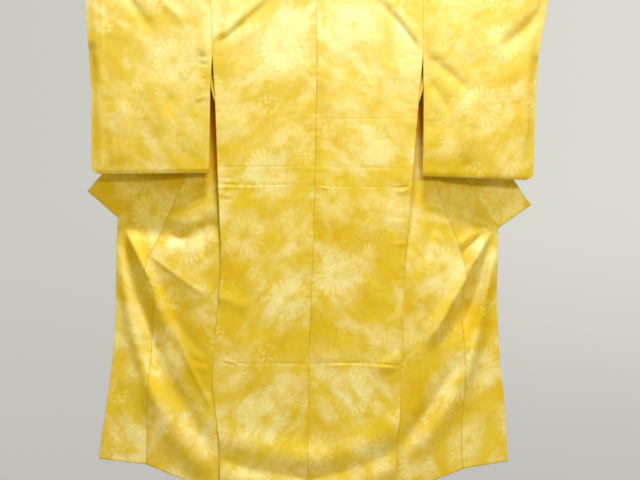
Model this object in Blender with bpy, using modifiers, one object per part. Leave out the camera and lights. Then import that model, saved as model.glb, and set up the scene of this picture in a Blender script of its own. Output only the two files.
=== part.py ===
"""Kimono hung over a plain rod, seen from the back, with both fronts turned outward.

Metres, +Z up. The origin is the middle of the rod. The back of the garment faces -Y, and the collar tips
lie nearest to the wall that it hangs against, on the +Y side. Left and right are the viewer's.
"""
import math
from collections import namedtuple

import bmesh
import bpy
import numpy as np

# Driving dimensions
WALL = 0.0012
SEAM_GAP = 0.0003
ROD_RADIUS = 0.011
ROD_LENGTH = 1.40
ROD_SIDES = 32

GARMENT_LENGTH = 1.47
ARMHOLE_DROP = 0.225
SIDE_SEAM_TOP = 0.37
OKUMI_TOP = 0.20
COLLAR_END = 0.82
NECK_HALF_WIDTH = 0.085
NECK_DROP = 0.030
COLLAR_SLOPE = 0.2012
COLLAR_FOLDED = 0.057
COLLAR_OPEN = 0.112
COLLAR_RETURN = 0.039
COLLAR_HEM = 0.005
COLLAR_FOLDED_TO = 0.25
COLLAR_OPEN_FROM = 0.70
COLLAR_SAG = {"left": 0.027, "right": 0.018}

ARC_STEPS = 6
SHOULDER_RADIUS = (ROD_RADIUS + SEAM_GAP + WALL / 2) / math.cos(math.pi / ARC_STEPS / 2)
SEAM_TURN = 0.004
CREASE_START = 0.012
CREASE_ROLL = 0.05
ROLL_RADIUS = 0.0045
SEAM_ROLL_RADIUS = 0.0017
LEAST_ROLL = 0.006
TIGHT_FROM = 0.35
INSIDE_DEPTH = 0.0135
INSIDE_FROM = 0.15
FLAT_FROM = 0.45
FLAT_OVER = 0.42
FIRST_SPREAD = 1.3
TURNED_SPREAD = 0.9
TURNED_LEVEL = 0.30
COLLAR_DEPTH = 0.024
COLLAR_CLEAR = 1.5 * SEAM_GAP
COLLAR_CLEAR_WALL = 1.2 * WALL / 2

SILK = (0.86, 0.66, 0.14)
SILK_COLLAR = (0.80, 0.60, 0.12)
WOOD = (0.46, 0.30, 0.17)

# The back panels: where the side edges and the centre seam hang at each height
Back = namedtuple("Back", "height left centre right depth")
BACK_ROWS = (
    Back(0.000, -0.2990, 0.0010, 0.3000, -0.0122),
    Back(-0.100, -0.2975, 0.0010, 0.3000, -0.0124),
    Back(-0.225, -0.2925, 0.0008, 0.2985, -0.0125),
    Back(-0.370, -0.2840, -0.0005, 0.2860, -0.0115),
    Back(-0.530, -0.2785, -0.0030, 0.2735, -0.0105),
    Back(-0.690, -0.2720, -0.0070, 0.2610, -0.0090),
    Back(-0.790, -0.2690, -0.0090, 0.2510, -0.0075),
    Back(-0.910, -0.2745, -0.0145, 0.2455, -0.0055),
    Back(-1.050, -0.2870, -0.0200, 0.2410, -0.0035),
    Back(-1.150, -0.2930, -0.0220, 0.2390, -0.0020),
    Back(-1.270, -0.2800, -0.0240, 0.2325, -0.0010),
    Back(-1.320, -0.2740, -0.0245, 0.2255, -0.0005),
    Back(-1.470, -0.2715, -0.0255, 0.2245, 0.0000),
)

# The turned fronts: where the cloth at each drop from the shoulder ends up, at the okumi seam
Seam = namedtuple("Seam", "drop x z depth")
OKUMI_SEAM = {
    "left": (
        Seam(0.640, -0.3750, -0.5800, 0.032),
        Seam(0.800, -0.4410, -0.7236, 0.036),
        Seam(0.910, -0.4827, -0.8210, 0.034),
        Seam(0.935, -0.4850, -0.8460, 0.033),
        Seam(1.010, -0.4600, -0.9140, 0.031),
        Seam(1.100, -0.4655, -1.0050, 0.028),
        Seam(1.240, -0.4740, -1.1370, 0.025),
        Seam(1.340, -0.4790, -1.2350, 0.023),
        Seam(1.470, -0.4810, -1.3880, 0.021),
    ),
    "right": (
        Seam(0.634, 0.3353, -0.5828, 0.032),
        Seam(0.745, 0.3740, -0.6866, 0.036),
        Seam(0.830, 0.4039, -0.7663, 0.036),
        Seam(0.921, 0.4253, -0.8546, 0.034),
        Seam(0.968, 0.4139, -0.9000, 0.032),
        Seam(1.031, 0.4147, -0.9627, 0.030),
        Seam(1.105, 0.4172, -1.0366, 0.028),
        Seam(1.175, 0.4224, -1.1060, 0.026),
        Seam(1.273, 0.4175, -1.2045, 0.024),
        Seam(1.381, 0.4105, -1.3126, 0.022),
        Seam(1.470, 0.4153, -1.4000, 0.021),
    ),
}
FREE_EDGE = {
    "left": (
        Seam(0.820, -0.5700, -0.6870, 0.050),
        Seam(0.860, -0.5710, -0.7260, 0.050),
        Seam(1.060, -0.5740, -0.9380, 0.046),
        Seam(1.150, -0.5780, -1.0370, 0.044),
        Seam(1.240, -0.5870, -1.1340, 0.042),
        Seam(1.330, -0.5995, -1.2250, 0.040),
        Seam(1.400, -0.6100, -1.3000, 0.038),
        Seam(1.470, -0.6195, -1.3750, 0.036),
    ),
    "right": (
        Seam(0.820, 0.5197, -0.7177, 0.050),
        Seam(0.950, 0.5160, -0.8522, 0.048),
        Seam(1.030, 0.5145, -0.9351, 0.046),
        Seam(1.130, 0.5199, -1.0380, 0.044),
        Seam(1.200, 0.5231, -1.1066, 0.042),
        Seam(1.280, 0.5331, -1.1925, 0.040),
        Seam(1.355, 0.5380, -1.2668, 0.038),
        Seam(1.470, 0.5445, -1.3812, 0.036),
    ),
}
# Where the crease of each turned front meets the side seam, below the shoulder
CREASE_MEETS_SEAM = {"left": (-0.270, -0.870), "right": (0.250, -0.910)}

# Which way the collar stands from its seam: round the back of the neck by height, then down the front
Lean = namedtuple("Lean", "station outward back up")
NECK_LEAN = (
    Lean(0.0, 0.00, -0.25, 1.00),
    Lean(0.5, 0.05, -0.30, 1.00),
    Lean(1.0, 0.10, -0.45, 0.90),
    Lean(1.5, 0.25, 0.00, 0.97),
    Lean(2.0, 0.45, 0.30, 0.85),
    Lean(2.5, 0.68, 0.15, 0.70),
    Lean(3.0, 0.82, 0.05, 0.57),
)
LEAN_DROP = 0.11

# The sleeves: outer edge, inner edge and depth of both layers at each height
Sleeve = namedtuple("Sleeve", "height outer inner back front")
SLEEVE_ROWS = {
    "left": (
        Sleeve(0.000, -0.6520, -0.2990, -0.0122, 0.0122),
        Sleeve(-0.120, -0.6460, -0.2973, -0.0130, 0.0124),
        Sleeve(-0.225, -0.6390, -0.2925, -0.0134, 0.0122),
        Sleeve(-0.346, -0.6330, -0.2980, -0.0125, 0.0095),
        Sleeve(-0.465, -0.6310, -0.3006, -0.0095, 0.0060),
        Sleeve(-0.566, -0.6310, -0.3020, -0.0050, 0.0020),
    ),
    "right": (
        Sleeve(0.000, 0.6530, 0.3000, -0.0122, 0.0122),
        Sleeve(-0.120, 0.6430, 0.3000, -0.0130, 0.0124),
        Sleeve(-0.225, 0.6240, 0.2985, -0.0134, 0.0122),
        Sleeve(-0.346, 0.6160, 0.3000, -0.0125, 0.0095),
        Sleeve(-0.465, 0.6115, 0.3000, -0.0095, 0.0060),
        Sleeve(-0.566, 0.6085, 0.2972, -0.0050, 0.0020),
    ),
}
SLEEVE_BOTTOM = {"left": (-0.566, -0.563), "right": (-0.583, -0.572)}
SLEEVE_MOUTH = {"left": 0.200, "right": 0.2366}
SLEEVE_CORNER = 0.020
SLEEVE_FOOT = 0.002

# Folds that show from a step away: a ridge has a positive height, a trough a negative one.
# They fade out near the seams and below the rod.
FOLD_FADE = 0.030
BACK_FADE = 0.10
SLEEVE_FADE = 0.08
Fold = namedtuple("Fold", "x0 z0 x1 z1 x2 z2 height width")
FRONT_FOLDS = {
    "left": (
        Fold(-0.562, -0.738, -0.538, -1.068, -0.410, -1.285, 0.011, 0.020),
        Fold(-0.500, -1.120, -0.420, -1.325, -0.270, -1.425, 0.012, 0.038),
        Fold(-0.552, -0.715, -0.530, -0.900, -0.430, -1.100, -0.010, 0.016),
        Fold(-0.475, -1.020, -0.410, -1.180, -0.270, -1.380, -0.007, 0.024),
        Fold(-0.552, -0.704, -0.475, -0.850, -0.395, -1.075, 0.014, 0.024),
        Fold(-0.500, -0.760, -0.400, -0.850, -0.285, -0.925, 0.006, 0.030),
        Fold(-0.590, -0.695, -0.470, -0.724, -0.345, -0.745, -0.012, 0.030),
        Fold(-0.420, -0.735, -0.340, -0.765, -0.265, -0.680, -0.012, 0.028),
    ),
    "right": (
        Fold(0.507, -0.735, 0.492, -0.925, 0.405, -1.195, 0.012, 0.019),
        Fold(0.440, -1.000, 0.425, -1.220, 0.230, -1.390, 0.012, 0.032),
        Fold(0.502, -0.735, 0.470, -0.880, 0.410, -1.020, -0.010, 0.015),
        Fold(0.435, -1.060, 0.340, -1.210, 0.200, -1.385, -0.010, 0.022),
        Fold(0.500, -0.725, 0.410, -0.880, 0.286, -1.088, 0.012, 0.021),
        Fold(0.425, -0.915, 0.400, -0.985, 0.355, -1.060, -0.005, 0.018),
        Fold(0.500, -0.712, 0.450, -0.730, 0.385, -0.785, 0.004, 0.014),
        Fold(0.330, -0.545, 0.345, -0.610, 0.352, -0.680, 0.008, 0.035),
        Fold(0.330, -0.620, 0.420, -0.678, 0.520, -0.715, -0.008, 0.022),
    ),
}
BACK_FOLDS = (
    Fold(-0.291, -0.193, -0.230, -0.160, -0.139, -0.060, -0.007, 0.013),
    Fold(0.293, -0.224, 0.235, -0.160, 0.178, -0.060, -0.007, 0.013),
    Fold(-0.300, -1.290, -0.120, -1.375, 0.060, -1.360, 0.009, 0.036),
    Fold(-0.100, -1.372, 0.110, -1.385, 0.280, -1.230, 0.009, 0.036),
    Fold(-0.300, -1.395, -0.140, -1.475, 0.060, -1.448, 0.009, 0.026),
    Fold(-0.100, -1.455, 0.130, -1.480, 0.300, -1.330, 0.009, 0.026),
    Fold(-0.286, -0.905, -0.230, -0.930, -0.180, -0.940, 0.004, 0.020),
    Fold(0.240, -1.068, 0.210, -1.100, 0.150, -1.130, 0.004, 0.018),
)
SLEEVE_FOLDS = {
    "left": (
        Fold(-0.557, -0.030, -0.510, -0.100, -0.450, -0.180, -0.005, 0.016),
        Fold(-0.310, -0.220, -0.360, -0.310, -0.440, -0.420, -0.006, 0.024),
        Fold(-0.560, -0.540, -0.540, -0.450, -0.545, -0.330, 0.004, 0.024),
    ),
    "right": (
        Fold(0.300, -0.232, 0.360, -0.270, 0.440, -0.350, -0.004, 0.015),
        Fold(0.305, -0.295, 0.345, -0.345, 0.385, -0.410, -0.003, 0.013),
        Fold(0.650, -0.080, 0.600, -0.165, 0.515, -0.215, -0.007, 0.018),
        Fold(0.420, -0.540, 0.430, -0.450, 0.425, -0.330, 0.004, 0.024),
    ),
}

# How far down each row of points lies, and how the columns share out the width
Counts = namedtuple("Counts", "start end steps")
BACK_DROPS = (
    Counts(GARMENT_LENGTH, 1.30, 5),
    Counts(1.30, 0.86, 7),
    Counts(0.86, ARMHOLE_DROP, 7),
    Counts(ARMHOLE_DROP, 0.060, 2),
)
FRONT_DROPS = (
    Counts(0.0125, CREASE_ROLL, 3),
    Counts(CREASE_ROLL, OKUMI_TOP, 3),
    Counts(OKUMI_TOP, ARMHOLE_DROP, 1),
    Counts(ARMHOLE_DROP, SIDE_SEAM_TOP, 2),
    Counts(SIDE_SEAM_TOP, 0.70, 5),
    Counts(0.70, COLLAR_END, 3),
    Counts(COLLAR_END, 1.10, 8),
    Counts(1.10, GARMENT_LENGTH, 9),
)
NECK_SHARES = (1.0, 0.8, 0.5, 0.2)
EVEN_FROM = 0.02
EVEN_OVER = 0.40
FIRST_STEPS = 3
ROLL_STEPS = 3
TURNED_STEPS = 8
OKUMI_STEPS = 6
SLEEVE_STEPS = 10
SLEEVE_DROPS = (Counts(0.0, ARMHOLE_DROP, 4), Counts(ARMHOLE_DROP, 0.52, 6))
COLLAR_STEPS = 3
RETURN_STEPS = 2
STATION_STEP = 0.01
LEAN_LAG = 0.3

COLLECTION = bpy.data.collections.new("kimono")


def clear_scene():
    for item in list(bpy.data.objects):
        bpy.data.objects.remove(item, do_unlink=True)


def ease(value):
    """0 to 1 with level ends."""
    t = min(1.0, max(0.0, value))
    return t * t * (3 - 2 * t)


def mix(a, b, t):
    return a + (b - a) * t


def spread(groups):
    """The distances that the groups of equal steps give, each group starting where the last one ended."""
    values = []
    for group in groups:
        stops = np.linspace(group.start, group.end, group.steps + 1)
        values.extend(float(v) for v in (stops if not values else stops[1:]))
    return values


def read(rows, column, key):
    """A column's value at a key, on a smooth curve through the rows. The first column is the key."""
    keys = [abs(row[0]) for row in rows]
    values = [getattr(row, column) for row in rows]
    key = min(keys[-1], max(keys[0], abs(key)))
    i = max(k for k in range(len(keys) - 1) if keys[k] <= key + 1e-12)
    slopes = []
    for k in (i, i + 1):
        low, high = max(0, k - 1), min(len(keys) - 1, k + 1)
        slopes.append((values[high] - values[low]) / (keys[high] - keys[low]))
    span = keys[i + 1] - keys[i]
    t = (key - keys[i]) / span
    start = (1 + 2 * t) * (1 - t) ** 2 * values[i] + t * (1 - t) ** 2 * span * slopes[0]
    end = t * t * (3 - 2 * t) * values[i + 1] + t * t * (t - 1) * span * slopes[1]
    return start + end


def fold_height(folds, x, z):
    """How far the folds bring the cloth forward at a place, faded out at both ends of each fold."""
    total = 0.0
    for fold in folds:
        t = np.linspace(0.0, 1.0, 33)
        route_x = (1 - t) ** 2 * fold.x0 + 2 * t * (1 - t) * fold.x1 + t * t * fold.x2
        route_z = (1 - t) ** 2 * fold.z0 + 2 * t * (1 - t) * fold.z1 + t * t * fold.z2
        apart = np.hypot(route_x - x, route_z - z)
        near = int(np.argmin(apart))
        fade = math.sin(math.pi * min(0.5, max(0.0, 2 * t[near]))) * ease(4 * (1 - t[near]))
        total += fold.height * fade * math.exp(-((apart[near] / fold.width) ** 2))
    return total


def side_edge(side, drop):
    """Where the side edge of the body panels hangs at a drop below the shoulder, straight at the armhole."""
    if drop < ARMHOLE_DROP:
        return mix(read(BACK_ROWS, side, 0.0), read(BACK_ROWS, side, ARMHOLE_DROP), drop / ARMHOLE_DROP)
    return read(BACK_ROWS, side, drop)


def back_depth(drop):
    return read(BACK_ROWS, "depth", drop)


def sign_of(side):
    return -1.0 if side == "left" else 1.0


def roll_angle(drop):
    """How far the front has rolled over its crease: none at the shoulder, half a turn further down."""
    return math.pi * ease(drop / CREASE_ROLL)


def crease(side, drop):
    """The crease of the turned front: a line from beside the neck to the side seam, then along the seam."""
    sign = sign_of(side)
    end_x, end_z = CREASE_MEETS_SEAM[side]
    start_x = sign * (NECK_HALF_WIDTH + CREASE_START)
    line = mix(start_x, end_x, drop / -end_z)
    seam = side_edge(side, drop) - sign * SEAM_TURN
    return min(line * sign, seam * sign) * sign


def first_layer_depth(side, drop, share):
    """Depth of the front's first layer, from its side edge (share 0) to the crease (share 1)."""
    joined = back_depth(drop) + WALL + SEAM_GAP
    free = SHOULDER_RADIUS
    at_seam = mix(free, joined, ease((drop - ARMHOLE_DROP) / (SIDE_SEAM_TOP - ARMHOLE_DROP)))
    inside = mix(INSIDE_DEPTH, joined, ease((drop - FLAT_FROM) / FLAT_OVER))
    inside = mix(free, inside, ease(drop / INSIDE_FROM))
    return mix(at_seam, inside, ease(share * FIRST_SPREAD))


def roll_radius(side, drop):
    """Radius of the bend at the crease, tight where the crease has reached the side seam."""
    end_z = CREASE_MEETS_SEAM[side][1]
    return mix(ROLL_RADIUS, SEAM_ROLL_RADIUS, ease((drop - TIGHT_FROM) / (-end_z - TIGHT_FROM)))


def mirror_in_crease(side, x, z):
    """A point of the flat front, turned over the crease line within the panel's plane."""
    sign = sign_of(side)
    end_x, end_z = CREASE_MEETS_SEAM[side]
    start = np.array([sign * (NECK_HALF_WIDTH + CREASE_START), 0.0])
    along = np.array([end_x, end_z]) - start
    along /= np.linalg.norm(along)
    offset = np.array([x, z]) - start
    return start + 2 * np.dot(offset, along) * along - offset


def collar_seam(side, drop):
    """The front's edge along the collar, from the neck point down to the collar's end."""
    sign = sign_of(side)
    rolled = min(drop, CREASE_ROLL)
    flat = np.array([sign * (NECK_HALF_WIDTH - COLLAR_SLOPE * rolled), -rolled])
    turned = mirror_in_crease(side, *flat)
    middle = (flat + turned) / 2
    angle = roll_angle(rolled)
    place = middle + (flat - middle) * math.cos(angle)
    lift = float(np.linalg.norm(flat - middle)) * math.sin(angle)
    radius = roll_radius(side, rolled) * (1 - math.cos(angle))
    depth = SHOULDER_RADIUS + lift + radius
    if drop > CREASE_ROLL:
        end = FREE_EDGE[side][0]
        t = (drop - CREASE_ROLL) / (COLLAR_END - CREASE_ROLL)
        run = np.array([end.x, end.z]) - place
        sag = COLLAR_SAG[side] * 4 * t * (1 - t) / np.linalg.norm(run)
        place = place + run * t + np.array([-sign * abs(run[1]), -abs(run[0])]) * sag
        depth = mix(mix(depth, COLLAR_DEPTH, ease(t * 4)), end.depth, ease(t))
    return np.array([place[0], depth, place[1]])


def okumi_seam(side, drop):
    """The inner edge of the front panel: the collar's seam, and from its lower part the okumi's."""
    if drop <= OKUMI_TOP:
        return collar_seam(side, drop)
    top = collar_seam(side, OKUMI_TOP)
    rows = (Seam(OKUMI_TOP, top[0], top[2], top[1]),) + OKUMI_SEAM[side]
    return np.array([read(rows, "x", drop), read(rows, "depth", drop), read(rows, "z", drop)])


def outer_edge(side, drop):
    """The okumi's own edge: the collar's seam, then the free front edge."""
    if drop <= COLLAR_END:
        return collar_seam(side, drop)
    rows = FREE_EDGE[side]
    return np.array([read(rows, "x", drop), read(rows, "depth", drop), read(rows, "z", drop)])


def pushed_by_folds(side, point, start):
    """A point of the turned front with its folds, which fade out towards the side seam."""
    away = abs(point[0] - start[0])
    height = fold_height(FRONT_FOLDS[side], point[0], point[2]) * ease(away / FOLD_FADE)
    return np.array([point[0], point[1] - height, point[2]])


def front_row(side, drop):
    """One row of the front panel, from the side edge over the crease to the inner seam."""
    sign = sign_of(side)
    edge_x = side_edge(side, drop)
    turn_x = crease(side, drop)
    radius = roll_radius(side, drop)
    angle = roll_angle(drop)
    points = []
    for k in range(FIRST_STEPS + 1):
        share = k / FIRST_STEPS
        x = mix(edge_x, turn_x, share)
        points.append(np.array([x, first_layer_depth(side, drop, share), -drop]))
    corner = points[-1]
    sweep = max(angle, LEAST_ROLL / radius)
    for k in range(1, ROLL_STEPS + 1):
        if angle < 1e-6:
            step = np.array([-sign * LEAST_ROLL * k / ROLL_STEPS, 0.0, 0.0])
        else:
            reach = sweep * radius * k / ROLL_STEPS
            bent = min(angle, reach / radius)
            straight = max(0.0, reach - angle * radius)
            inward = radius * math.sin(bent) + straight * math.cos(angle)
            back = radius * (1 - math.cos(bent)) + straight * math.sin(angle)
            step = np.array([-sign * inward, back, 0.0])
        points.append(corner + step)
    start = points[-1]
    end = okumi_seam(side, drop)
    for k in range(1, TURNED_STEPS + 1):
        share = k / TURNED_STEPS
        point = mix(start, end, share)
        level = mix(start[1], end[1], ease(share * TURNED_SPREAD))
        point[1] = mix(point[1], level, ease(drop / TURNED_LEVEL))
        points.append(pushed_by_folds(side, point, start))
    return points


def shoulder_shares(side):
    """How the columns share the width at the shoulder, where the fold of the front begins."""
    row = front_row(side, 0.0)
    reach = [abs(point[0] - row[0][0]) for point in row]
    return [value / reach[-1] for value in reach]


def back_point(side, drop, share, inner_x):
    edge_x = side_edge(side, drop)
    x = mix(edge_x, inner_x, share)
    calm = ease(drop / BACK_FADE)
    y = back_depth(drop) - calm * fold_height(BACK_FOLDS, x, -drop)
    return np.array([x, y, -drop])


def neck_inner(side, drop):
    """The panel's inner edge at the back: the centre seam, and the rounded neckline above it."""
    sign = sign_of(side)
    centre = read(BACK_ROWS, "centre", drop) + sign * SEAM_GAP / 2
    if drop >= NECK_DROP:
        return centre
    return centre + (sign * NECK_HALF_WIDTH - centre) * math.sqrt(1 - drop / NECK_DROP)


def body_rows(side):
    """All rows of one body panel, from the back hem over the rod to the front hem."""
    columns = FIRST_STEPS + ROLL_STEPS + TURNED_STEPS
    at_shoulder = shoulder_shares(side)
    rows = []
    neck_drops = [NECK_DROP * share for share in NECK_SHARES]
    for drop in spread(BACK_DROPS) + neck_drops:
        even = ease((drop - EVEN_FROM) / EVEN_OVER)
        shares = [mix(at_shoulder[k], k / columns, even) for k in range(columns + 1)]
        inner = neck_inner(side, drop)
        rows.append([back_point(side, drop, share, inner) for share in shares])
    flat = front_row(side, 0.0)
    for k in range(ARC_STEPS + 1):
        angle = math.pi * k / ARC_STEPS
        y = -SHOULDER_RADIUS * math.cos(angle)
        z = SHOULDER_RADIUS * math.sin(angle)
        rows.append([np.array([point[0], y, z]) for point in flat])
    for drop in spread(FRONT_DROPS):
        rows.append(front_row(side, drop))
    return rows


def trim_sides(rows, side, trim):
    """The body's side edge is drawn in by half a seam gap along the armhole, where the sleeve meets it."""
    sign = sign_of(side)
    for row in rows:
        row[0] = row[0] - np.array([sign * trim, 0.0, 0.0])
    return rows


def trim_inner(rows, first, trim):
    """The last column is drawn in along its row, from the given row on, to leave a seam gap."""
    for row in rows[first:]:
        along = row[-1] - row[-2]
        row[-1] = row[-1] - along / np.linalg.norm(along) * trim
    return rows


def okumi_row(side, drop):
    inner = okumi_seam(side, drop)
    outer = outer_edge(side, drop)
    start = np.array([side_edge(side, drop), 0.0, 0.0])
    return [pushed_by_folds(side, mix(inner, outer, k / OKUMI_STEPS), start) for k in range(OKUMI_STEPS + 1)]


def okumi_rows(side):
    """The overlap panel: from its seam on the front panel to the collar's seam and the free edge."""
    rows = []
    for drop in spread(FRONT_DROPS):
        if drop < OKUMI_TOP + 0.02:
            continue
        row = okumi_row(side, drop)
        along = row[1] - row[0]
        row[0] = row[0] + along / np.linalg.norm(along) * SEAM_GAP / 2
        along = row[-1] - row[-2]
        row[-1] = row[-1] - along / np.linalg.norm(along) * SEAM_GAP / 2
        rows.append(row)
    return rows


def sleeve_ring(side, share):
    """One ring of a sleeve in its own upright plane, from the front bottom over the rod to the back bottom."""
    rows = SLEEVE_ROWS[side]
    bottom = mix(SLEEVE_BOTTOM[side][0], SLEEVE_BOTTOM[side][1], share)
    drops = spread(SLEEVE_DROPS) + [-bottom - SLEEVE_CORNER * 0.4]
    sign = sign_of(side)

    def edge_x(drop):
        outer = read(rows, "outer", drop)
        inner = side_edge(side, drop) if drop <= ARMHOLE_DROP else read(rows, "inner", drop)
        inner += sign * SEAM_GAP / 2
        rounding = max(0.0, drop - (-bottom - SLEEVE_CORNER))
        round_in = SLEEVE_CORNER - math.sqrt(max(0.0, SLEEVE_CORNER ** 2 - rounding ** 2))
        return mix(outer - sign * round_in, inner, share)

    def calm(x):
        inside = ease(abs(x - read(rows, "inner", 0.1)) / FOLD_FADE)
        return inside * ease(abs(x - read(rows, "outer", 0.1)) / FOLD_FADE)

    ring = []
    for drop in reversed(drops[1:]):
        x = edge_x(drop)
        ring.append(np.array([x, read(rows, "front", drop), -drop]))
    for k in range(ARC_STEPS + 1):
        angle = math.pi * k / ARC_STEPS
        y = SHOULDER_RADIUS * math.cos(angle)
        z = SHOULDER_RADIUS * math.sin(angle)
        ring.append(np.array([edge_x(0.0), y, z]))
    for drop in drops[1:]:
        x = edge_x(drop)
        push = fold_height(SLEEVE_FOLDS[side], x, -drop) * calm(x) * ease(drop / SLEEVE_FADE)
        ring.append(np.array([x, read(rows, "back", drop) - push, -drop]))
    low = edge_x(-bottom)
    middle = (read(rows, "back", -bottom) + read(rows, "front", -bottom)) / 2
    ring.append(np.array([low, middle - SLEEVE_FOOT, bottom]))
    ring.append(np.array([low, middle + SLEEVE_FOOT, bottom]))
    return ring, len(drops) - 1


def link(name, points, faces, colour, roughness=0.45):
    mesh = bpy.data.meshes.new(name)
    mesh.from_pydata([tuple(map(float, point)) for point in points], [], faces)
    shape = bmesh.new()
    shape.from_mesh(mesh)
    bmesh.ops.recalc_face_normals(shape, faces=shape.faces)
    shape.to_mesh(mesh)
    shape.free()
    item = bpy.data.objects.new(name, mesh)
    COLLECTION.objects.link(item)
    item.data.materials.append(material(name, colour, roughness))
    return item


def material(name, colour, roughness):
    finish = bpy.data.materials.new(name)
    finish.use_nodes = True
    shader = finish.node_tree.nodes["Principled BSDF"]
    shader.inputs["Base Color"].default_value = (*colour, 1.0)
    shader.inputs["Roughness"].default_value = roughness
    shader.inputs["Metallic"].default_value = 0.0
    return finish


def thicken(item):
    """Cloth as a wall: half its thickness to each side of the drawn surface."""
    wall = item.modifiers.new("Wall", "SOLIDIFY")
    wall.thickness = WALL
    wall.offset = 0.0
    wall.use_even_offset = True
    item.data.polygons.foreach_set("use_smooth", [True] * len(item.data.polygons))
    return item


def grid_faces(rows, columns, closed=False):
    faces = []
    around = columns if closed else columns - 1
    for i in range(rows - 1):
        for j in range(around):
            k = (j + 1) % columns
            faces.append((i * columns + j, i * columns + k, (i + 1) * columns + k, (i + 1) * columns + j))
    return faces


def sheet(name, rows, colour):
    points = [point for row in rows for point in row]
    return thicken(link(name, points, grid_faces(len(rows), len(rows[0])), colour))


def build_body(side):
    rows = body_rows(side)
    armhole = [row for row in rows if row[0][2] > -ARMHOLE_DROP - 0.001]
    trim_sides(armhole, side, SEAM_GAP / 2)
    first_front = len(rows) - len(spread(FRONT_DROPS))
    trim_inner(rows, first_front, SEAM_GAP / 2)
    sheet("body_" + side, rows, SILK)


def build_okumi(side):
    sheet("okumi_" + side, okumi_rows(side), SILK)


def build_sleeve(side):
    """A folded tube: open at the mouth and at the body, closed below the mouth by a strip at its outer edge."""
    rings = []
    for k in range(SLEEVE_STEPS + 1):
        ring, above = sleeve_ring(side, k / SLEEVE_STEPS)
        rings.append(ring)
    size = len(rings[0])
    points = [point for ring in rings for point in ring]
    faces = grid_faces(len(rings), size, closed=True)
    outer = rings[0]
    front = list(range(above))
    back = [above + ARC_STEPS + above - k for k in range(above)]
    closed = [k for k in front if outer[k][2] <= -SLEEVE_MOUTH[side] + 0.001]
    for k in closed[:-1]:
        faces.append((front[k], back[k], back[k + 1], front[k + 1]))
    faces.append((size - 1, size - 2, back[0], front[0]))
    thicken(link("sleeve_" + side, points, faces, SILK))


def collar_lean(side, station):
    """The unit direction in which the collar stands away from its seam near the neck."""
    lean = np.array([
        sign_of(side) * read(NECK_LEAN, "outward", station),
        read(NECK_LEAN, "back", station),
        read(NECK_LEAN, "up", station),
    ])
    return lean / np.linalg.norm(lean)


def collar_half(side):
    """Half of the collar, from the middle of the neck to the tip: seam point, lean and drop of each station."""
    sign = sign_of(side)
    stations = []
    for share in NECK_SHARES[:-1]:
        drop = NECK_DROP * share
        x = neck_inner(side, drop) if share < 1.0 else read(BACK_ROWS, "centre", drop)
        point = np.array([x, back_depth(drop), -drop])
        across = np.array([-sign, 0.0, 0.0]) if share < 1.0 else np.array([0.0, 0.0, 1.0])
        stations.append((point, collar_lean(side, 1.0 - share), 0.0, across))
    for k in range(1, ARC_STEPS):
        angle = math.pi * k / ARC_STEPS
        y = -(SHOULDER_RADIUS + WALL) * math.cos(angle)
        z = (SHOULDER_RADIUS + WALL) * math.sin(angle)
        point = np.array([sign * NECK_HALF_WIDTH, y, z])
        stations.append((point, collar_lean(side, 1.0 + k / ARC_STEPS), 0.0, np.array([-sign, 0.0, 0.0])))
    for drop in spread(FRONT_DROPS):
        if drop > COLLAR_END + 1e-6:
            break
        row = front_row(side, drop) if drop <= OKUMI_TOP else okumi_row(side, drop)
        step = edge_with_folds(side, min(COLLAR_END, drop + STATION_STEP))
        step = step - edge_with_folds(side, drop - STATION_STEP)
        upward = np.array([sign * abs(step[2]), 0.0, abs(step[0])])
        upward /= np.linalg.norm(upward)
        near_neck = collar_lean(side, 2.0 + min(1.0, drop / LEAN_DROP))
        lean = mix(near_neck, upward, ease(drop / LEAN_DROP - LEAN_LAG))
        stations.append((row[-1], lean / np.linalg.norm(lean), drop, row[-1] - row[-2]))
    return stations


def clear_of_panel(lean, across, along):
    """The small step that keeps the collar's lower edge clear of the panel's edge, more where it stands up."""
    across = across - np.dot(across, along) * along
    across = across / np.linalg.norm(across)
    upright = 1.0 if np.dot(lean, across) < 0 else abs(np.dot(lean, np.cross(along, across)))
    return across * (COLLAR_CLEAR + COLLAR_CLEAR_WALL * upright)


def edge_with_folds(side, drop):
    seam = collar_seam(side, drop)
    return pushed_by_folds(side, seam, np.array([side_edge(side, drop), 0.0, 0.0]))


def collar_rows():
    """The collar's sections from the left tip round the neck to the right tip, folded over lengthwise."""
    left = collar_half("left")
    right = collar_half("right")
    stations = list(reversed(left)) + right[1:]
    rows = []
    for k, (seam, lean, drop, across) in enumerate(stations):
        before = stations[max(0, k - 1)][0]
        after = stations[min(len(stations) - 1, k + 1)][0]
        along = (after - before) / np.linalg.norm(after - before)
        inner = -np.cross(along, lean)
        inner /= np.linalg.norm(inner)
        point = seam + clear_of_panel(lean, across, along)
        opened = ease((drop - COLLAR_FOLDED_TO) / (COLLAR_OPEN_FROM - COLLAR_FOLDED_TO))
        width = mix(COLLAR_FOLDED, COLLAR_OPEN, opened)
        returned = mix(COLLAR_RETURN, COLLAR_HEM, opened)
        row = [point + lean * (SEAM_GAP / 2 + (width - SEAM_GAP / 2) * n / COLLAR_STEPS)
               for n in range(COLLAR_STEPS + 1)]
        for n in range(1, ROLL_STEPS + 1):
            turn = math.pi * n / ROLL_STEPS
            reach = width + SEAM_ROLL_RADIUS * math.sin(turn)
            row.append(point + lean * reach + inner * SEAM_ROLL_RADIUS * (1 - math.cos(turn)))
        for n in range(1, RETURN_STEPS + 1):
            reach = width - returned * n / RETURN_STEPS
            row.append(point + lean * reach + inner * 2 * SEAM_ROLL_RADIUS)
        rows.append(row)
    return rows


def build_collar():
    sheet("collar", collar_rows(), SILK_COLLAR)


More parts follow.
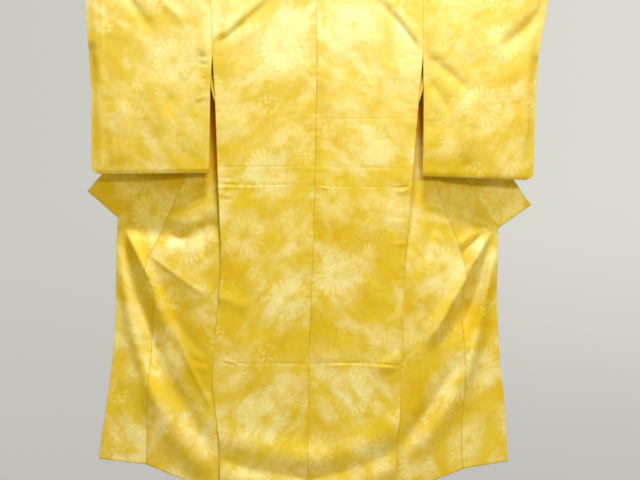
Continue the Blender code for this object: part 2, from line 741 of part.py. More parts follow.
def build_rod():
    bpy.ops.mesh.primitive_cylinder_add(vertices=ROD_SIDES, radius=ROD_RADIUS, depth=ROD_LENGTH,
                                        rotation=(0.0, math.pi / 2, 0.0))
    rod = bpy.context.object
    rod.name = "rod"
    for collection in list(rod.users_collection):
        collection.objects.unlink(rod)
    COLLECTION.objects.link(rod)
    rod.data.materials.append(material("rod", WOOD, 0.5))
    rod.data.shade_smooth()
    rod.data.set_sharp_from_angle(angle=math.radians(40))


def main():
    clear_scene()
    bpy.context.scene.collection.children.link(COLLECTION)
    build_rod()
    for side in ("left", "right"):
        build_body(side)
        build_sleeve(side)
        build_okumi(side)
    build_collar()


main()
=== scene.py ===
"""Looks of the kimono on a rod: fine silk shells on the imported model's form, their pattern and the room.

Metres, +Z up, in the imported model's own frame. The origin is the middle of the rod, and the back of the
garment faces -Y. Left and right are the viewer's.
"""
import math
from collections import namedtuple

import bpy
import numpy as np
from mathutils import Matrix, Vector, noise


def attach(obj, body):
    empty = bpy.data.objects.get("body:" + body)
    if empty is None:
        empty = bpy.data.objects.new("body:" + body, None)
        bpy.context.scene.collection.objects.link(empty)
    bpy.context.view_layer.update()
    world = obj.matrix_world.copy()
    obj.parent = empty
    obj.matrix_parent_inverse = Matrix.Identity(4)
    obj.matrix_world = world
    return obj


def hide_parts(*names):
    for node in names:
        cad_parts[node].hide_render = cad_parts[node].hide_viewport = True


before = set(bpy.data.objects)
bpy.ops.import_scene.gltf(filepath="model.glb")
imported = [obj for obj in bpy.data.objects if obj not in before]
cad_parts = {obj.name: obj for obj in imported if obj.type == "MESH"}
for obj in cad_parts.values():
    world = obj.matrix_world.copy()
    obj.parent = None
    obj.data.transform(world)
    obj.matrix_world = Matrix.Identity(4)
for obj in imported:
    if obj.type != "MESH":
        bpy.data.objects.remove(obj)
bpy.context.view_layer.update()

# Driving dimensions, the same as the solids have
WALL = 0.0012
SEAM_GAP = 0.0003
ROD_RADIUS = 0.011
GARMENT_LENGTH = 1.47
ARMHOLE_DROP = 0.225
SIDE_SEAM_TOP = 0.37
OKUMI_TOP = 0.20
COLLAR_END = 0.82
NECK_HALF_WIDTH = 0.085
NECK_DROP = 0.030
COLLAR_SLOPE = 0.2012
COLLAR_FOLDED = 0.057
COLLAR_OPEN = 0.112
COLLAR_RETURN = 0.039
COLLAR_HEM = 0.005
COLLAR_FOLDED_TO = 0.25
COLLAR_OPEN_FROM = 0.70
COLLAR_SAG = {"left": 0.027, "right": 0.018}
SOLID_ARC_STEPS = 6
SHOULDER_RADIUS = (ROD_RADIUS + SEAM_GAP + WALL / 2) / math.cos(math.pi / SOLID_ARC_STEPS / 2)
SEAM_TURN = 0.004
CREASE_START = 0.012
CREASE_ROLL = 0.05
ROLL_RADIUS = 0.0045
SEAM_ROLL_RADIUS = 0.0017
SIDE_ROLL_RADIUS = 0.0007
LEAST_ROLL = 0.006
OPEN_SLACK = 0.010
LEAN_DROP = 0.11
SLEEVE_CORNER = 0.020
BODY_WIDTH = 0.30
SLEEVE_WIDTH = 0.35
FIRST_LAYER_DEPTH = 0.0135
COLLAR_DEPTH = 0.024

# The shells: cloth thickness, cell size, and how far a sewn edge turns in over its last millimetres
SHELL = 0.0009
CELL = 0.0052
TURN_IN = 0.0006
TURN_WIDTH = 0.0026
EDGE_STEPS = (0.0, 0.0012, 0.0026, 0.0045)
ALLOWANCE = 0.0040
ALLOWANCE_DEPTH = 0.0020
LEAST_ALLOWANCE = 0.0004
NECK_ALLOWANCE = 0.8
ARMHOLE_TUCK = 0.4
SLACK_LOWERED = 1.25
LEAST_FIRST_WIDTH = 0.03
LEAST_TURNED_WIDTH = 0.05
LEAST_OKUMI_WIDTH = 0.02
SLEEVE_LEAST_GAP = 0.002
SLEEVE_SEAM_GAP = 0.0008

# Where something starts below the shoulder
FIRST_LAYER_FROM = 0.15
LAYERS_JOIN_FROM = 0.45
ROLL_TIGHTENS_FROM = 0.35
TURNED_LEVEL_FROM = 0.30
EVEN_FROM = 0.02
SLEEVE_LOOSE_FROM = 0.02
SLEEVE_CALM_AT = 0.10
OKUMI_TOP_GAP = 0.02
SLEEVE_EVEN_TO = 0.52
SLEEVE_TAIL_TO = 0.575
FRONT_FROM = 0.0125
LEAST_DROP = 0.002
ARMHOLE_MARGIN = 0.001

# The distances over which something comes in or fades out
LAYERS_JOIN_OVER = 0.42
EVEN_OVER = 0.20
NECK_RELIEF_FADE = 0.12
RELIEF_FADE = 0.10
SHOULDER_FADE = 0.10
SLEEVE_FOLD_FADE = 0.08
FOLD_FADE = 0.030
SEAM_FADE = 0.025
CREASE_FADE = 0.020
ARMHOLE_FADE = 0.02
BOTTOM_FADE = 0.010
COLLAR_END_FADE = 0.01

# Shares, without a unit
FIRST_LAYER_RISE = 1.3
TURNED_RISE = 0.9
COLLAR_GAP = 1.5
COLLAR_STEP = 1.2
LEAN_DELAY = 0.3
SLEEVE_FRONT_FOLDS = 0.6
SLEEVE_FRONT_RELIEF = 0.7
SLEEVE_CLOSING = 0.75
MOUTH_PINCH, SEWN_PINCH = 0.55, 0.10
USUAL_CREASE, CREASE_CHANGE = 0.75, 1.1
FAINTEST_CREASE, SHARPEST_CREASE = 0.2, 1.3


def table(kind, rows):
    return tuple(kind(*row) for row in rows)


# The back panels: where the side edges and the centre seam hang at each height
Back = namedtuple("Back", "height left centre right depth")
BACK_ROWS = table(Back, (
    (0.0, -0.299, 0.001, 0.3, -0.0122),
    (-0.1, -0.2975, 0.001, 0.3, -0.0124),
    (-0.225, -0.2925, 0.0008, 0.2985, -0.0125),
    (-0.37, -0.284, -0.0005, 0.286, -0.0115),
    (-0.53, -0.2785, -0.003, 0.2735, -0.0105),
    (-0.69, -0.272, -0.007, 0.261, -0.009),
    (-0.79, -0.269, -0.009, 0.251, -0.0075),
    (-0.91, -0.2745, -0.0145, 0.2455, -0.0055),
    (-1.05, -0.287, -0.02, 0.241, -0.0035),
    (-1.15, -0.293, -0.022, 0.239, -0.002),
    (-1.27, -0.28, -0.024, 0.2325, -0.001),
    (-1.32, -0.274, -0.0245, 0.2255, -0.0005),
    (-1.47, -0.2715, -0.0255, 0.2245, 0.0),
))

# The turned fronts: where the cloth at each drop from the shoulder ends up, at the okumi seam
Seam = namedtuple("Seam", "drop x z depth")
OKUMI_SEAM = {
    "left": table(Seam, (
        (0.64, -0.375, -0.58, 0.032),
        (0.8, -0.441, -0.7236, 0.036),
        (0.91, -0.4827, -0.821, 0.034),
        (0.935, -0.485, -0.846, 0.033),
        (1.01, -0.46, -0.914, 0.031),
        (1.1, -0.4655, -1.005, 0.028),
        (1.24, -0.474, -1.137, 0.025),
        (1.34, -0.479, -1.235, 0.023),
        (1.47, -0.481, -1.388, 0.021),
    )),
    "right": table(Seam, (
        (0.634, 0.3353, -0.5828, 0.032),
        (0.745, 0.374, -0.6866, 0.036),
        (0.83, 0.4039, -0.7663, 0.036),
        (0.921, 0.4253, -0.8546, 0.034),
        (0.968, 0.4139, -0.9, 0.032),
        (1.031, 0.4147, -0.9627, 0.03),
        (1.105, 0.4172, -1.0366, 0.028),
        (1.175, 0.4224, -1.106, 0.026),
        (1.273, 0.4175, -1.2045, 0.024),
        (1.381, 0.4105, -1.3126, 0.022),
        (1.47, 0.4153, -1.4, 0.021),
    )),
}
FREE_EDGE = {
    "left": table(Seam, (
        (0.82, -0.57, -0.687, 0.05),
        (0.86, -0.571, -0.726, 0.05),
        (1.06, -0.574, -0.938, 0.046),
        (1.15, -0.578, -1.037, 0.044),
        (1.24, -0.587, -1.134, 0.042),
        (1.33, -0.5995, -1.225, 0.04),
        (1.4, -0.61, -1.3, 0.038),
        (1.47, -0.6195, -1.375, 0.036),
    )),
    "right": table(Seam, (
        (0.82, 0.5197, -0.7177, 0.05),
        (0.95, 0.516, -0.8522, 0.048),
        (1.03, 0.5145, -0.9351, 0.046),
        (1.13, 0.5199, -1.038, 0.044),
        (1.2, 0.5231, -1.1066, 0.042),
        (1.28, 0.5331, -1.1925, 0.04),
        (1.355, 0.538, -1.2668, 0.038),
        (1.47, 0.5445, -1.3812, 0.036),
    )),
}
# Where the crease of each turned front meets the side seam, below the shoulder
CREASE_MEETS_SEAM = {"left": (-0.27, -0.87), "right": (0.25, -0.91)}

# Which way the collar stands from its seam: round the back of the neck by height, then down the front
Lean = namedtuple("Lean", "station outward back up")
NECK_LEAN = table(Lean, (
    (0.0, 0.0, -0.25, 1.0),
    (0.5, 0.08, -0.32, 0.98),
    (1.0, 0.22, -0.42, 0.86),
    (1.5, 0.45, -0.02, 0.82),
    (2.0, 0.6, 0.22, 0.72),
    (2.5, 0.74, 0.15, 0.64),
    (3.0, 0.82, 0.05, 0.57),
))
NECK_SHARES = (1.0, 0.8, 0.5)

# The sleeves: outer edge, inner edge and depth of both layers at each height
Sleeve = namedtuple("Sleeve", "height outer inner back front")
SLEEVE_ROWS = {
    "left": table(Sleeve, (
        (0.0, -0.652, -0.299, -0.0122, 0.0122),
        (-0.12, -0.646, -0.2973, -0.013, 0.0124),
        (-0.225, -0.639, -0.2925, -0.0134, 0.0122),
        (-0.346, -0.633, -0.298, -0.0125, 0.0095),
        (-0.465, -0.631, -0.3006, -0.0095, 0.006),
        (-0.566, -0.631, -0.302, -0.005, 0.002),
    )),
    "right": table(Sleeve, (
        (0.0, 0.653, 0.3, -0.0122, 0.0122),
        (-0.12, 0.643, 0.3, -0.013, 0.0124),
        (-0.225, 0.624, 0.2985, -0.0134, 0.0122),
        (-0.346, 0.616, 0.3, -0.0125, 0.0095),
        (-0.465, 0.6115, 0.3, -0.0095, 0.006),
        (-0.566, 0.6085, 0.2972, -0.005, 0.002),
    )),
}
SLEEVE_BOTTOM = {"left": (-0.566, -0.563), "right": (-0.583, -0.572)}
SLEEVE_MOUTH = {"left": 0.2, "right": 0.2366}

# The folds that the solids have: a ridge has a positive height, a trough a negative one
Fold = namedtuple("Fold", "x0 z0 x1 z1 x2 z2 height width")
FRONT_FOLDS = {
    "left": table(Fold, (
        (-0.562, -0.738, -0.538, -1.068, -0.41, -1.285, 0.011, 0.02),
        (-0.5, -1.12, -0.42, -1.325, -0.27, -1.425, 0.012, 0.038),
        (-0.552, -0.715, -0.53, -0.9, -0.43, -1.1, -0.01, 0.016),
        (-0.475, -1.02, -0.41, -1.18, -0.27, -1.38, -0.007, 0.024),
        (-0.552, -0.704, -0.475, -0.85, -0.395, -1.075, 0.014, 0.024),
        (-0.5, -0.76, -0.4, -0.85, -0.285, -0.925, 0.006, 0.03),
        (-0.59, -0.695, -0.47, -0.724, -0.345, -0.745, -0.012, 0.03),
        (-0.42, -0.735, -0.34, -0.765, -0.265, -0.68, -0.012, 0.028),
    )),
    "right": table(Fold, (
        (0.507, -0.735, 0.492, -0.925, 0.405, -1.195, 0.012, 0.019),
        (0.44, -1.0, 0.425, -1.22, 0.23, -1.39, 0.012, 0.032),
        (0.502, -0.735, 0.47, -0.88, 0.41, -1.02, -0.01, 0.015),
        (0.435, -1.06, 0.34, -1.21, 0.2, -1.385, -0.01, 0.022),
        (0.5, -0.725, 0.41, -0.88, 0.286, -1.088, 0.012, 0.021),
        (0.425, -0.915, 0.4, -0.985, 0.355, -1.06, -0.005, 0.018),
        (0.5, -0.712, 0.45, -0.73, 0.385, -0.785, 0.004, 0.014),
        (0.33, -0.545, 0.345, -0.61, 0.352, -0.68, 0.008, 0.035),
        (0.33, -0.62, 0.42, -0.678, 0.52, -0.715, -0.008, 0.022),
    )),
}
BACK_FOLDS = table(Fold, (
    (-0.2878, -0.2086, -0.2033, -0.1499, -0.108, -0.054, -0.0042, 0.0115),
    (-0.296, -0.1974, -0.2117, -0.1387, -0.1164, -0.0428, 0.0042, 0.0115),
    (0.2965, -0.23, 0.2324, -0.1382, 0.1595, -0.0604, -0.0038, 0.0105),
    (0.3075, -0.2212, 0.2434, -0.1294, 0.1705, -0.0516, 0.0038, 0.0105),
    (-0.3, -1.29, -0.12, -1.375, 0.06, -1.36, 0.009, 0.036),
    (-0.1, -1.372, 0.11, -1.385, 0.28, -1.23, 0.009, 0.036),
    (-0.3, -1.395, -0.14, -1.475, 0.06, -1.448, 0.009, 0.026),
    (-0.1, -1.455, 0.13, -1.48, 0.3, -1.33, 0.009, 0.026),
    (-0.286, -0.905, -0.23, -0.93, -0.18, -0.94, 0.004, 0.02),
    (0.24, -1.068, 0.21, -1.1, 0.15, -1.13, 0.004, 0.018),
))
SLEEVE_FOLDS = {
    "left": table(Fold, (
        (-0.557, -0.03, -0.51, -0.1, -0.45, -0.18, -0.005, 0.016),
        (-0.31, -0.22, -0.36, -0.31, -0.44, -0.42, -0.006, 0.024),
        (-0.56, -0.54, -0.54, -0.45, -0.545, -0.33, 0.004, 0.024),
    )),
    "right": table(Fold, (
        (0.3, -0.232, 0.36, -0.27, 0.44, -0.35, -0.004, 0.015),
        (0.305, -0.295, 0.345, -0.345, 0.385, -0.41, -0.003, 0.013),
        (0.65, -0.08, 0.6, -0.165, 0.515, -0.215, -0.007, 0.018),
        (0.42, -0.54, 0.43, -0.45, 0.425, -0.33, 0.004, 0.024),
    )),
}

# Finer creases, for the shells only: where the garment lay folded, puckers at seams, and small pulls
BACK_CREASES = table(Fold, (
    (-0.28, -0.547, -0.2, -0.549, -0.01, -0.545, -0.0006, 0.003),
    (-0.277, -0.596, -0.18, -0.599, -0.01, -0.596, -0.0007, 0.0026),
    (-0.279, -0.604, -0.23, -0.606, -0.15, -0.605, 0.0006, 0.0032),
    (-0.277, -0.578, -0.255, -0.58, -0.228, -0.579, -0.0014, 0.0026),
    (-0.277, -0.588, -0.25, -0.587, -0.22, -0.59, 0.0014, 0.0026),
    (-0.276, -0.638, -0.255, -0.64, -0.232, -0.638, -0.0016, 0.0026),
    (-0.276, -0.624, -0.26, -0.625, -0.24, -0.628, 0.0013, 0.003),
    (0.02, -0.547, 0.12, -0.549, 0.262, -0.55, -0.0004, 0.003),
    (0.01, -0.411, 0.12, -0.413, 0.27, -0.412, -0.0005, 0.0026),
    (0.015, -0.603, 0.13, -0.601, 0.2, -0.606, -0.0005, 0.0032),
    (0.2, -0.606, 0.235, -0.606, 0.268, -0.6, -0.0012, 0.0032),
    (0.225, -0.618, 0.25, -0.616, 0.266, -0.611, 0.0018, 0.003),
    (0.003, -0.6, 0.02, -0.611, 0.04, -0.604, 0.0018, 0.0032),
    (-0.275, -1.098, -0.18, -1.101, -0.0, -1.098, -0.0009, 0.0032),
    (-0.266, -1.088, -0.245, -1.092, -0.215, -1.104, 0.0016, 0.004),
    (0.0, -1.1, 0.008, -1.086, 0.024, -1.076, 0.003, 0.0042),
    (0.014, -1.074, 0.034, -1.084, 0.07, -1.088, 0.0026, 0.0042),
    (-0.01, -1.097, 0.06, -1.099, 0.125, -1.096, -0.0012, 0.0034),
    (0.095, -1.098, 0.17, -1.099, 0.245, -1.106, -0.0016, 0.0034),
    (0.006, -1.108, 0.05, -1.103, 0.09, -1.105, 0.0026, 0.0044),
    (0.11, -1.103, 0.17, -1.108, 0.238, -1.114, 0.003, 0.0046),
    (-0.262, -0.236, -0.276, -0.242, -0.29, -0.238, -0.0014, 0.003),
    (-0.16, -0.3, -0.14, -0.306, -0.12, -0.302, 0.0008, 0.004),
    (0.262, -0.228, 0.278, -0.238, 0.292, -0.24, -0.0014, 0.003),
    (-0.235, -0.918, -0.19, -0.9, -0.13, -0.884, 0.0006, 0.005),
    (-0.25, -0.935, -0.205, -0.915, -0.165, -0.893, -0.0006, 0.0046),
    (0.11, -0.86, 0.15, -0.88, 0.235, -0.905, 0.0005, 0.006),
    (0.16, -0.905, 0.19, -0.893, 0.236, -0.902, -0.001, 0.0036),
    (0.2, -0.69, 0.235, -0.686, 0.262, -0.694, -0.0012, 0.004),
    (0.205, -0.763, 0.235, -0.768, 0.252, -0.76, 0.0012, 0.004),
    (-0.3, -1.352, -0.14, -1.433, 0.06, -1.412, -0.0025, 0.011),
    (-0.1, -1.42, 0.12, -1.434, 0.3, -1.282, -0.0025, 0.011),
))
FRONT_CREASES = {
    "left": table(Fold, (
        (-0.352, -1.089, -0.325, -1.096, -0.288, -1.104, -0.0014, 0.0034),
        (-0.35, -1.108, -0.325, -1.117, -0.292, -1.12, 0.0014, 0.008),
        (-0.41, -0.99, -0.354, -1.122, -0.283, -1.245, 0.0032, 0.008),
        (-0.553, -0.712, -0.5, -0.8, -0.466, -0.88, 0.0045, 0.006),
        (-0.543, -0.76, -0.53, -0.85, -0.505, -0.95, -0.0035, 0.006),
        (-0.48, -0.79, -0.4, -0.85, -0.3, -0.915, 0.0025, 0.006),
        (-0.4, -0.96, -0.35, -1.06, -0.3, -1.08, -0.002, 0.012),
        (-0.58, -1.18, -0.54, -1.27, -0.47, -1.35, 0.0012, 0.014),
        (-0.33, -0.7, -0.32, -0.76, -0.305, -0.82, -0.003, 0.012),
    )),
    "right": table(Fold, (
        (0.5, -0.727, 0.463, -0.786, 0.422, -0.853, 0.004, 0.006),
        (0.5, -0.77, 0.488, -0.88, 0.47, -0.96, 0.003, 0.007),
        (0.49, -0.724, 0.452, -0.748, 0.405, -0.806, -0.003, 0.006),
        (0.422, -0.86, 0.378, -0.942, 0.31, -1.05, 0.003, 0.007),
        (0.385, -0.653, 0.43, -0.675, 0.475, -0.701, -0.003, 0.008),
        (0.5, -0.96, 0.48, -1.12, 0.43, -1.25, -0.0012, 0.014),
        (0.33, -0.7, 0.318, -0.76, 0.3, -0.83, -0.0025, 0.011),
    )),
}
SLEEVE_CREASES = {
    "left": table(Fold, (
        (-0.62, -0.361, -0.5, -0.364, -0.33, -0.36, -0.0008, 0.0032),
        (-0.6, -0.417, -0.47, -0.42, -0.34, -0.416, -0.0007, 0.0032),
        (-0.305, -0.236, -0.32, -0.242, -0.332, -0.23, -0.0024, 0.004),
        (-0.304, -0.258, -0.318, -0.262, -0.33, -0.256, -0.0022, 0.0036),
        (-0.305, -0.3, -0.316, -0.302, -0.33, -0.298, -0.0022, 0.0036),
        (-0.306, -0.345, -0.32, -0.35, -0.34, -0.362, 0.0022, 0.0042),
        (-0.306, -0.36, -0.32, -0.366, -0.336, -0.374, -0.0018, 0.004),
        (-0.6, -0.545, -0.59, -0.49, -0.592, -0.44, -0.0024, 0.008),
        (-0.575, -0.55, -0.568, -0.5, -0.572, -0.46, 0.0024, 0.008),
        (-0.44, -0.07, -0.4, -0.12, -0.35, -0.15, 0.0022, 0.014),
        (-0.605, 0.06, -0.604, -0.1, -0.598, -0.26, 0.0024, 0.0036),
        (-0.62, -0.3, -0.605, -0.33, -0.6, -0.38, -0.0016, 0.006),
    )),
    "right": table(Fold, (
        (0.32, -0.353, 0.45, -0.356, 0.6, -0.352, -0.0007, 0.0032),
        (0.33, -0.44, 0.45, -0.437, 0.59, -0.441, -0.0007, 0.0032),
        (0.306, -0.248, 0.325, -0.252, 0.345, -0.244, -0.0022, 0.004),
        (0.306, -0.29, 0.322, -0.294, 0.338, -0.286, -0.002, 0.0036),
        (0.306, -0.41, 0.32, -0.412, 0.336, -0.406, 0.0018, 0.004),
        (0.59, -0.55, 0.585, -0.5, 0.6, -0.45, -0.0022, 0.008),
        (0.47, -0.07, 0.51, -0.095, 0.555, -0.08, -0.0024, 0.012),
    )),
}
# Soft unevenness of the hung silk: how high and how wide its swells are
Swell = namedtuple("Swell", "height size seed")
SWELLS = table(Swell, (
    (0.0022, 0.11, 3.0),
    (0.001, 0.045, 11.0),
    (0.00035, 0.018, 23.0),
))
SEAM_PUCKER = 0.0011
PUCKER_SIZE = 0.013
PUCKER_REACH = 0.02
UNEVEN_WIDTH = 0.045
UNEVEN_HEIGHT = 0.2
CENTRE_SEED, SIDE_SEED, OKUMI_SEED = 2.0, 3.0, 5.0
BACK_CREASE_SEED, SLEEVE_CREASE_SEED = 7.0, 9.0
BACK_SEED, FRONT_SEED, SLEEVE_BACK_SEED, SLEEVE_FRONT_SEED = 0.0, 40.0, 70.0, 90.0

# Steps across each stretch of a row, the collar's rounding, and rows closer than a cell
FIRST_STEPS = 24
ROLL_STEPS = 6
TURNED_STEPS = 36
OKUMI_STEPS = 30
SLEEVE_STEPS = 74
SHOULDER_STEPS = 20
NECK_STEPS = 14
COLLAR_STEPS = 20
RETURN_STEPS = 9
NECK_SMOOTHING = 8
COLLAR_ROUNDING = 0.026
COLLAR_CORNER = 0.17
ROUTE_STEPS = 24
CLOSED_ROWS = 30
INNER_COLUMNS = 8
ALONG_EDGE = 0.01
NECK_CELL = 0.003
CREASE_CELL = 0.0016
CREASE_ROWS = 3
LEAST_CELL = 0.0012
NARROW = 0.004
LONG = 0.1

# The pattern repeats along the bolt. u runs across it from the inner selvage, v along it
REPEAT = 0.7
OKUMI_CUT_FROM = 0.06
COLLAR_CUT_FROM = 0.05
Mum = namedtuple("Mum", "u v radius petals turn strength")
MUMS = table(Mum, (
    (0.105, 0.0, 0.067, 18, 0.1, 0.95),
    (0.165, 0.362, 0.065, 20, 0.5, 0.9),
    (0.092, 0.45, 0.053, 25, 0.0, 0.5),
    (0.092, 0.45, 0.031, 16, 0.12, 0.55),
    (0.08, 0.207, 0.056, 15, 0.3, 0.42),
    (0.08, 0.207, 0.034, 11, 0.05, 0.48),
    (0.228, 0.178, 0.06, 18, 0.4, 0.6),
    (0.245, 0.5, 0.053, 17, 0.2, 0.48),
    (0.335, 0.33, 0.054, 16, 0.25, 0.7),
))
Spray = namedtuple("Spray", "u v radius")
SPRAYS = table(Spray, (
    (0.036, -0.03, 0.03),
    (0.15, 0.545, 0.034),
    (0.225, 0.33, 0.026),
    (0.055, 0.4, 0.024),
    (0.2, 0.07, 0.024),
    (0.3, 0.6, 0.03),
))
Leaf = namedtuple("Leaf", "u v length width turn")
LEAVES = table(Leaf, (
    (0.185, 0.055, 0.074, 0.013, 0.7),
    (0.032, 0.062, 0.064, 0.011, 2.3),
    (0.045, -0.07, 0.07, 0.012, 0.9),
    (0.24, 0.395, 0.074, 0.013, 2.0),
    (0.09, 0.34, 0.064, 0.011, -0.7),
    (0.15, 0.262, 0.07, 0.012, -0.9),
    (0.275, 0.58, 0.07, 0.012, 0.4),
    (0.17, 0.52, 0.07, 0.012, 1.2),
    (0.3, 0.04, 0.07, 0.013, 1.9),
))
FLOWER_INPUTS = ("U", "V", "Centre U", "Centre V", "Radius", "Petals", "Turn")
LEAF_INPUTS = ("U", "V", "Centre U", "Centre V", "Length", "Width", "Turn")
BLOSSOM_RADIUS = 0.0066
BLOSSOM_PETALS = 5
# Where each piece starts in the repeat, and how far along the bolt it was cut
PATTERN_START = {
    "body_left": 0.237,
    "body_right": 0.169 + 7 * REPEAT,
    "sleeve_left": 0.434 + 14 * REPEAT,
    "sleeve_right": -0.037 + 21 * REPEAT,
    "okumi_left": 0.150 + 28 * REPEAT,
    "okumi_right": 0.420 + 35 * REPEAT,
    "collar": 0.115 + 42 * REPEAT,
}

# Colours of the silk, its lining and the wood, as linear red, green, blue and alpha
DEEP_GOLD = (0.622, 0.452, 0.012, 1)
GOLD = (0.664, 0.525, 0.026, 1)
PALE_GOLD = (0.710, 0.645, 0.230, 1)
# Painted highlight: paler, whiter silk colours for the upper back and sleeves, where the lamps fall
TOP_LIGHT_GOLD = (0.78, 0.745, 0.310, 1)
BLEACHED = (0.815, 0.835, 0.720, 1)
TOP_LIGHT_WHITE = (0.905, 0.915, 0.760, 1)
DARK_FLECK = (0.58, 0.390, 0.005, 1)
LIGHT_FLECK = (0.78, 0.700, 0.220, 1)
PETAL = (0.795, 0.765, 0.450, 1)
# Painted highlight: the petals' colour high on the back and sleeves
TOP_LIGHT_PETAL = (0.93, 0.93, 0.740, 1)
PETAL_LINE = (0.62, 0.46, 0.03, 1)
FLOWER_EYE = (0.68, 0.53, 0.02, 1)
# Painted shade in the slits beside the sleeves, red-brown towards their top
PAINTED_SLIT_SHADE = (0.84, 0.450, 0.003, 1)
PAINTED_SLIT_TOP_SHADE = (0.90, 0.300, 0.003, 1)
# Painted shade along the seams, where the cloth turns in
SEAM_SHADE = (0.32, 0.17, 0.003, 1)
LINING_GOLD = (0.64, 0.420, 0.016, 1)
LINING_YELLOW = (0.71, 0.510, 0.040, 1)
WOOD_BROWN = (0.30, 0.17, 0.075, 1)
WOOD_PALE = (0.52, 0.34, 0.18, 1)
WOOD_PORE = (0.16, 0.08, 0.035, 1)

# The noise textures, with scales for a place in metres
Noise = namedtuple("Noise", "scale detail roughness distortion seed")
BROAD_CLOUDS = Noise(4.6, 3.0, 0.55, 0.7, 1.0)
MIDDLE_CLOUDS = Noise(11.0, 2.2, 0.55, 0.4, 4.0)
PATCHES = Noise(8.0, 1.4, 0.5, 0.2, 9.0)
FLECKS = Noise(12.0, 1.5, 0.5, 0.2, 12.0)
FINE_MOTTLE = Noise(60.0, 3.0, 0.6, 0.0, 14.0)
GRAIN = Noise(420.0, 2.0, 0.6, 0.0, 17.0)
WORN_PLACES = Noise(11.0, 3.0, 0.6, 0.6, 21.0)
LEAFY_EDGES = Noise(48.0, 4.0, 0.62, 1.6, 27.0)
CREPE = Noise(900.0, 2.0, 0.6, 0.0, 31.0)
CRUMPLE = Noise(55.0, 3.0, 0.55, 0.4, 41.0)
UNEVEN_SPRAYS = Noise(30.0, 1.0, 0.5, 0.0, 51.0)
LINING_CLOUDS = Noise(9.0, 3.0, 0.55, 0.3, 2.0)
SLUB = Noise(700.0, 2.0, 0.6, 0.0, 6.0)
WOOD_GRAIN = Noise(6.0, 6.0, 0.65, 1.5, 3.0)
WOOD_PORES = Noise(30.0, 2.0, 0.5, 0.0, 7.0)


def ease(value):
    """0 to 1 with level ends."""
    t = np.clip(value, 0.0, 1.0)
    return t * t * (3 - 2 * t)


def mix(a, b, t):
    return a + (b - a) * t


def points_at(x, y, z):
    """Points from their coordinates, each spread over the rows and columns of the others."""
    return np.stack(np.broadcast_arrays(x, y, z), axis=-1)


def unit(vector):
    return vector / np.linalg.norm(vector, axis=-1, keepdims=True)


def read(rows, column, key):
    """A column's value at each key, on a smooth curve through the rows. The first column is the key."""
    keys = np.abs([row[0] for row in rows])
    values = np.array([getattr(row, column) for row in rows])
    last = len(keys) - 1
    high = np.minimum(np.arange(last + 1) + 1, last)
    low = np.maximum(np.arange(last + 1) - 1, 0)
    slopes = (values[high] - values[low]) / (keys[high] - keys[low])
    key = np.clip(np.abs(key), keys[0], keys[-1])
    i = np.clip(np.searchsorted(keys, key + 1e-12, side="right") - 1, 0, last - 1)
    span = keys[i + 1] - keys[i]
    t = (key - keys[i]) / span
    start = (1 + 2 * t) * (1 - t) ** 2 * values[i] + t * (1 - t) ** 2 * span * slopes[i]
    end = t * t * (3 - 2 * t) * values[i + 1] + t * t * (t - 1) * span * slopes[i + 1]
    return start + end


def steps_between(start, end, step=CELL):
    """Even stops from start to end, about a step apart, without the last one."""
    count = max(1, round(abs(end - start) / step))
    return [mix(start, end, k / count) for k in range(count)]


def one_fold(fold, x, z):
    """Height of one fold at each place: a soft ridge or trough along its curve, faded out at both ends."""
    t = np.linspace(0.0, 1.0, ROUTE_STEPS + 1)
    route_x = (1 - t) ** 2 * fold.x0 + 2 * t * (1 - t) * fold.x1 + t * t * fold.x2
    route_z = (1 - t) ** 2 * fold.z0 + 2 * t * (1 - t) * fold.z1 + t * t * fold.z2
    nearest = np.full(x.shape, np.inf)
    place = np.zeros(x.shape)
    for k in range(ROUTE_STEPS):
        run_x = route_x[k + 1] - route_x[k]
        run_z = route_z[k + 1] - route_z[k]
        along = (x - route_x[k]) * run_x + (z - route_z[k]) * run_z
        share = np.clip(along / (run_x ** 2 + run_z ** 2), 0.0, 1.0)
        apart = np.hypot(x - route_x[k] - share * run_x, z - route_z[k] - share * run_z)
        closer = apart < nearest
        nearest[closer] = apart[closer]
        place[closer] = (k + share[closer]) / ROUTE_STEPS
    fade = np.sin(math.pi * np.clip(2 * place, 0.0, 0.5)) * ease(4 * (1 - place))
    return fold.height * fade * np.exp(-((nearest / fold.width) ** 2))


def fold_height(folds, x, z):
    """How far the folds bring the cloth forward at each place."""
    x, z = np.broadcast_arrays(x, z)
    total = np.zeros(x.shape)
    for fold in folds:
        reach = 3 * fold.width
        beside = (x > min(fold.x0, fold.x1, fold.x2) - reach) & (x < max(fold.x0, fold.x1, fold.x2) + reach)
        level = (z > min(fold.z0, fold.z1, fold.z2) - reach) & (z < max(fold.z0, fold.z1, fold.z2) + reach)
        near = beside & level
        if near.any():
            total[near] += one_fold(fold, x[near], z[near])
    return total


def noise_at(x, z, seed):
    """Smooth noise from about -1 to 1 at each place."""
    x, z = np.broadcast_arrays(x, z)
    values = [noise.noise(Vector((a, b, seed))) for a, b in zip(x.flat, z.flat)]
    return np.array(values).reshape(x.shape)


def swell_height(x, z, seed):
    """The silk's soft unevenness at each place."""
    return sum(swell.height * noise_at(x / swell.size, z / swell.size, seed + swell.seed) for swell in SWELLS)


def pucker_height(along, away, seed):
    """Small ripples beside a seam, which die out a couple of centimetres from it."""
    return SEAM_PUCKER * noise_at(along / PUCKER_SIZE, seed, 0.0) * np.exp(-away / PUCKER_REACH)


def turn_in(away):
    """How far a sewn edge turns in, by the distance from it."""
    return TURN_IN * np.clip(1 - away / TURN_WIDTH, 0.0, 1.0) ** 2


def sign_of(side):
    return -1.0 if side == "left" else 1.0


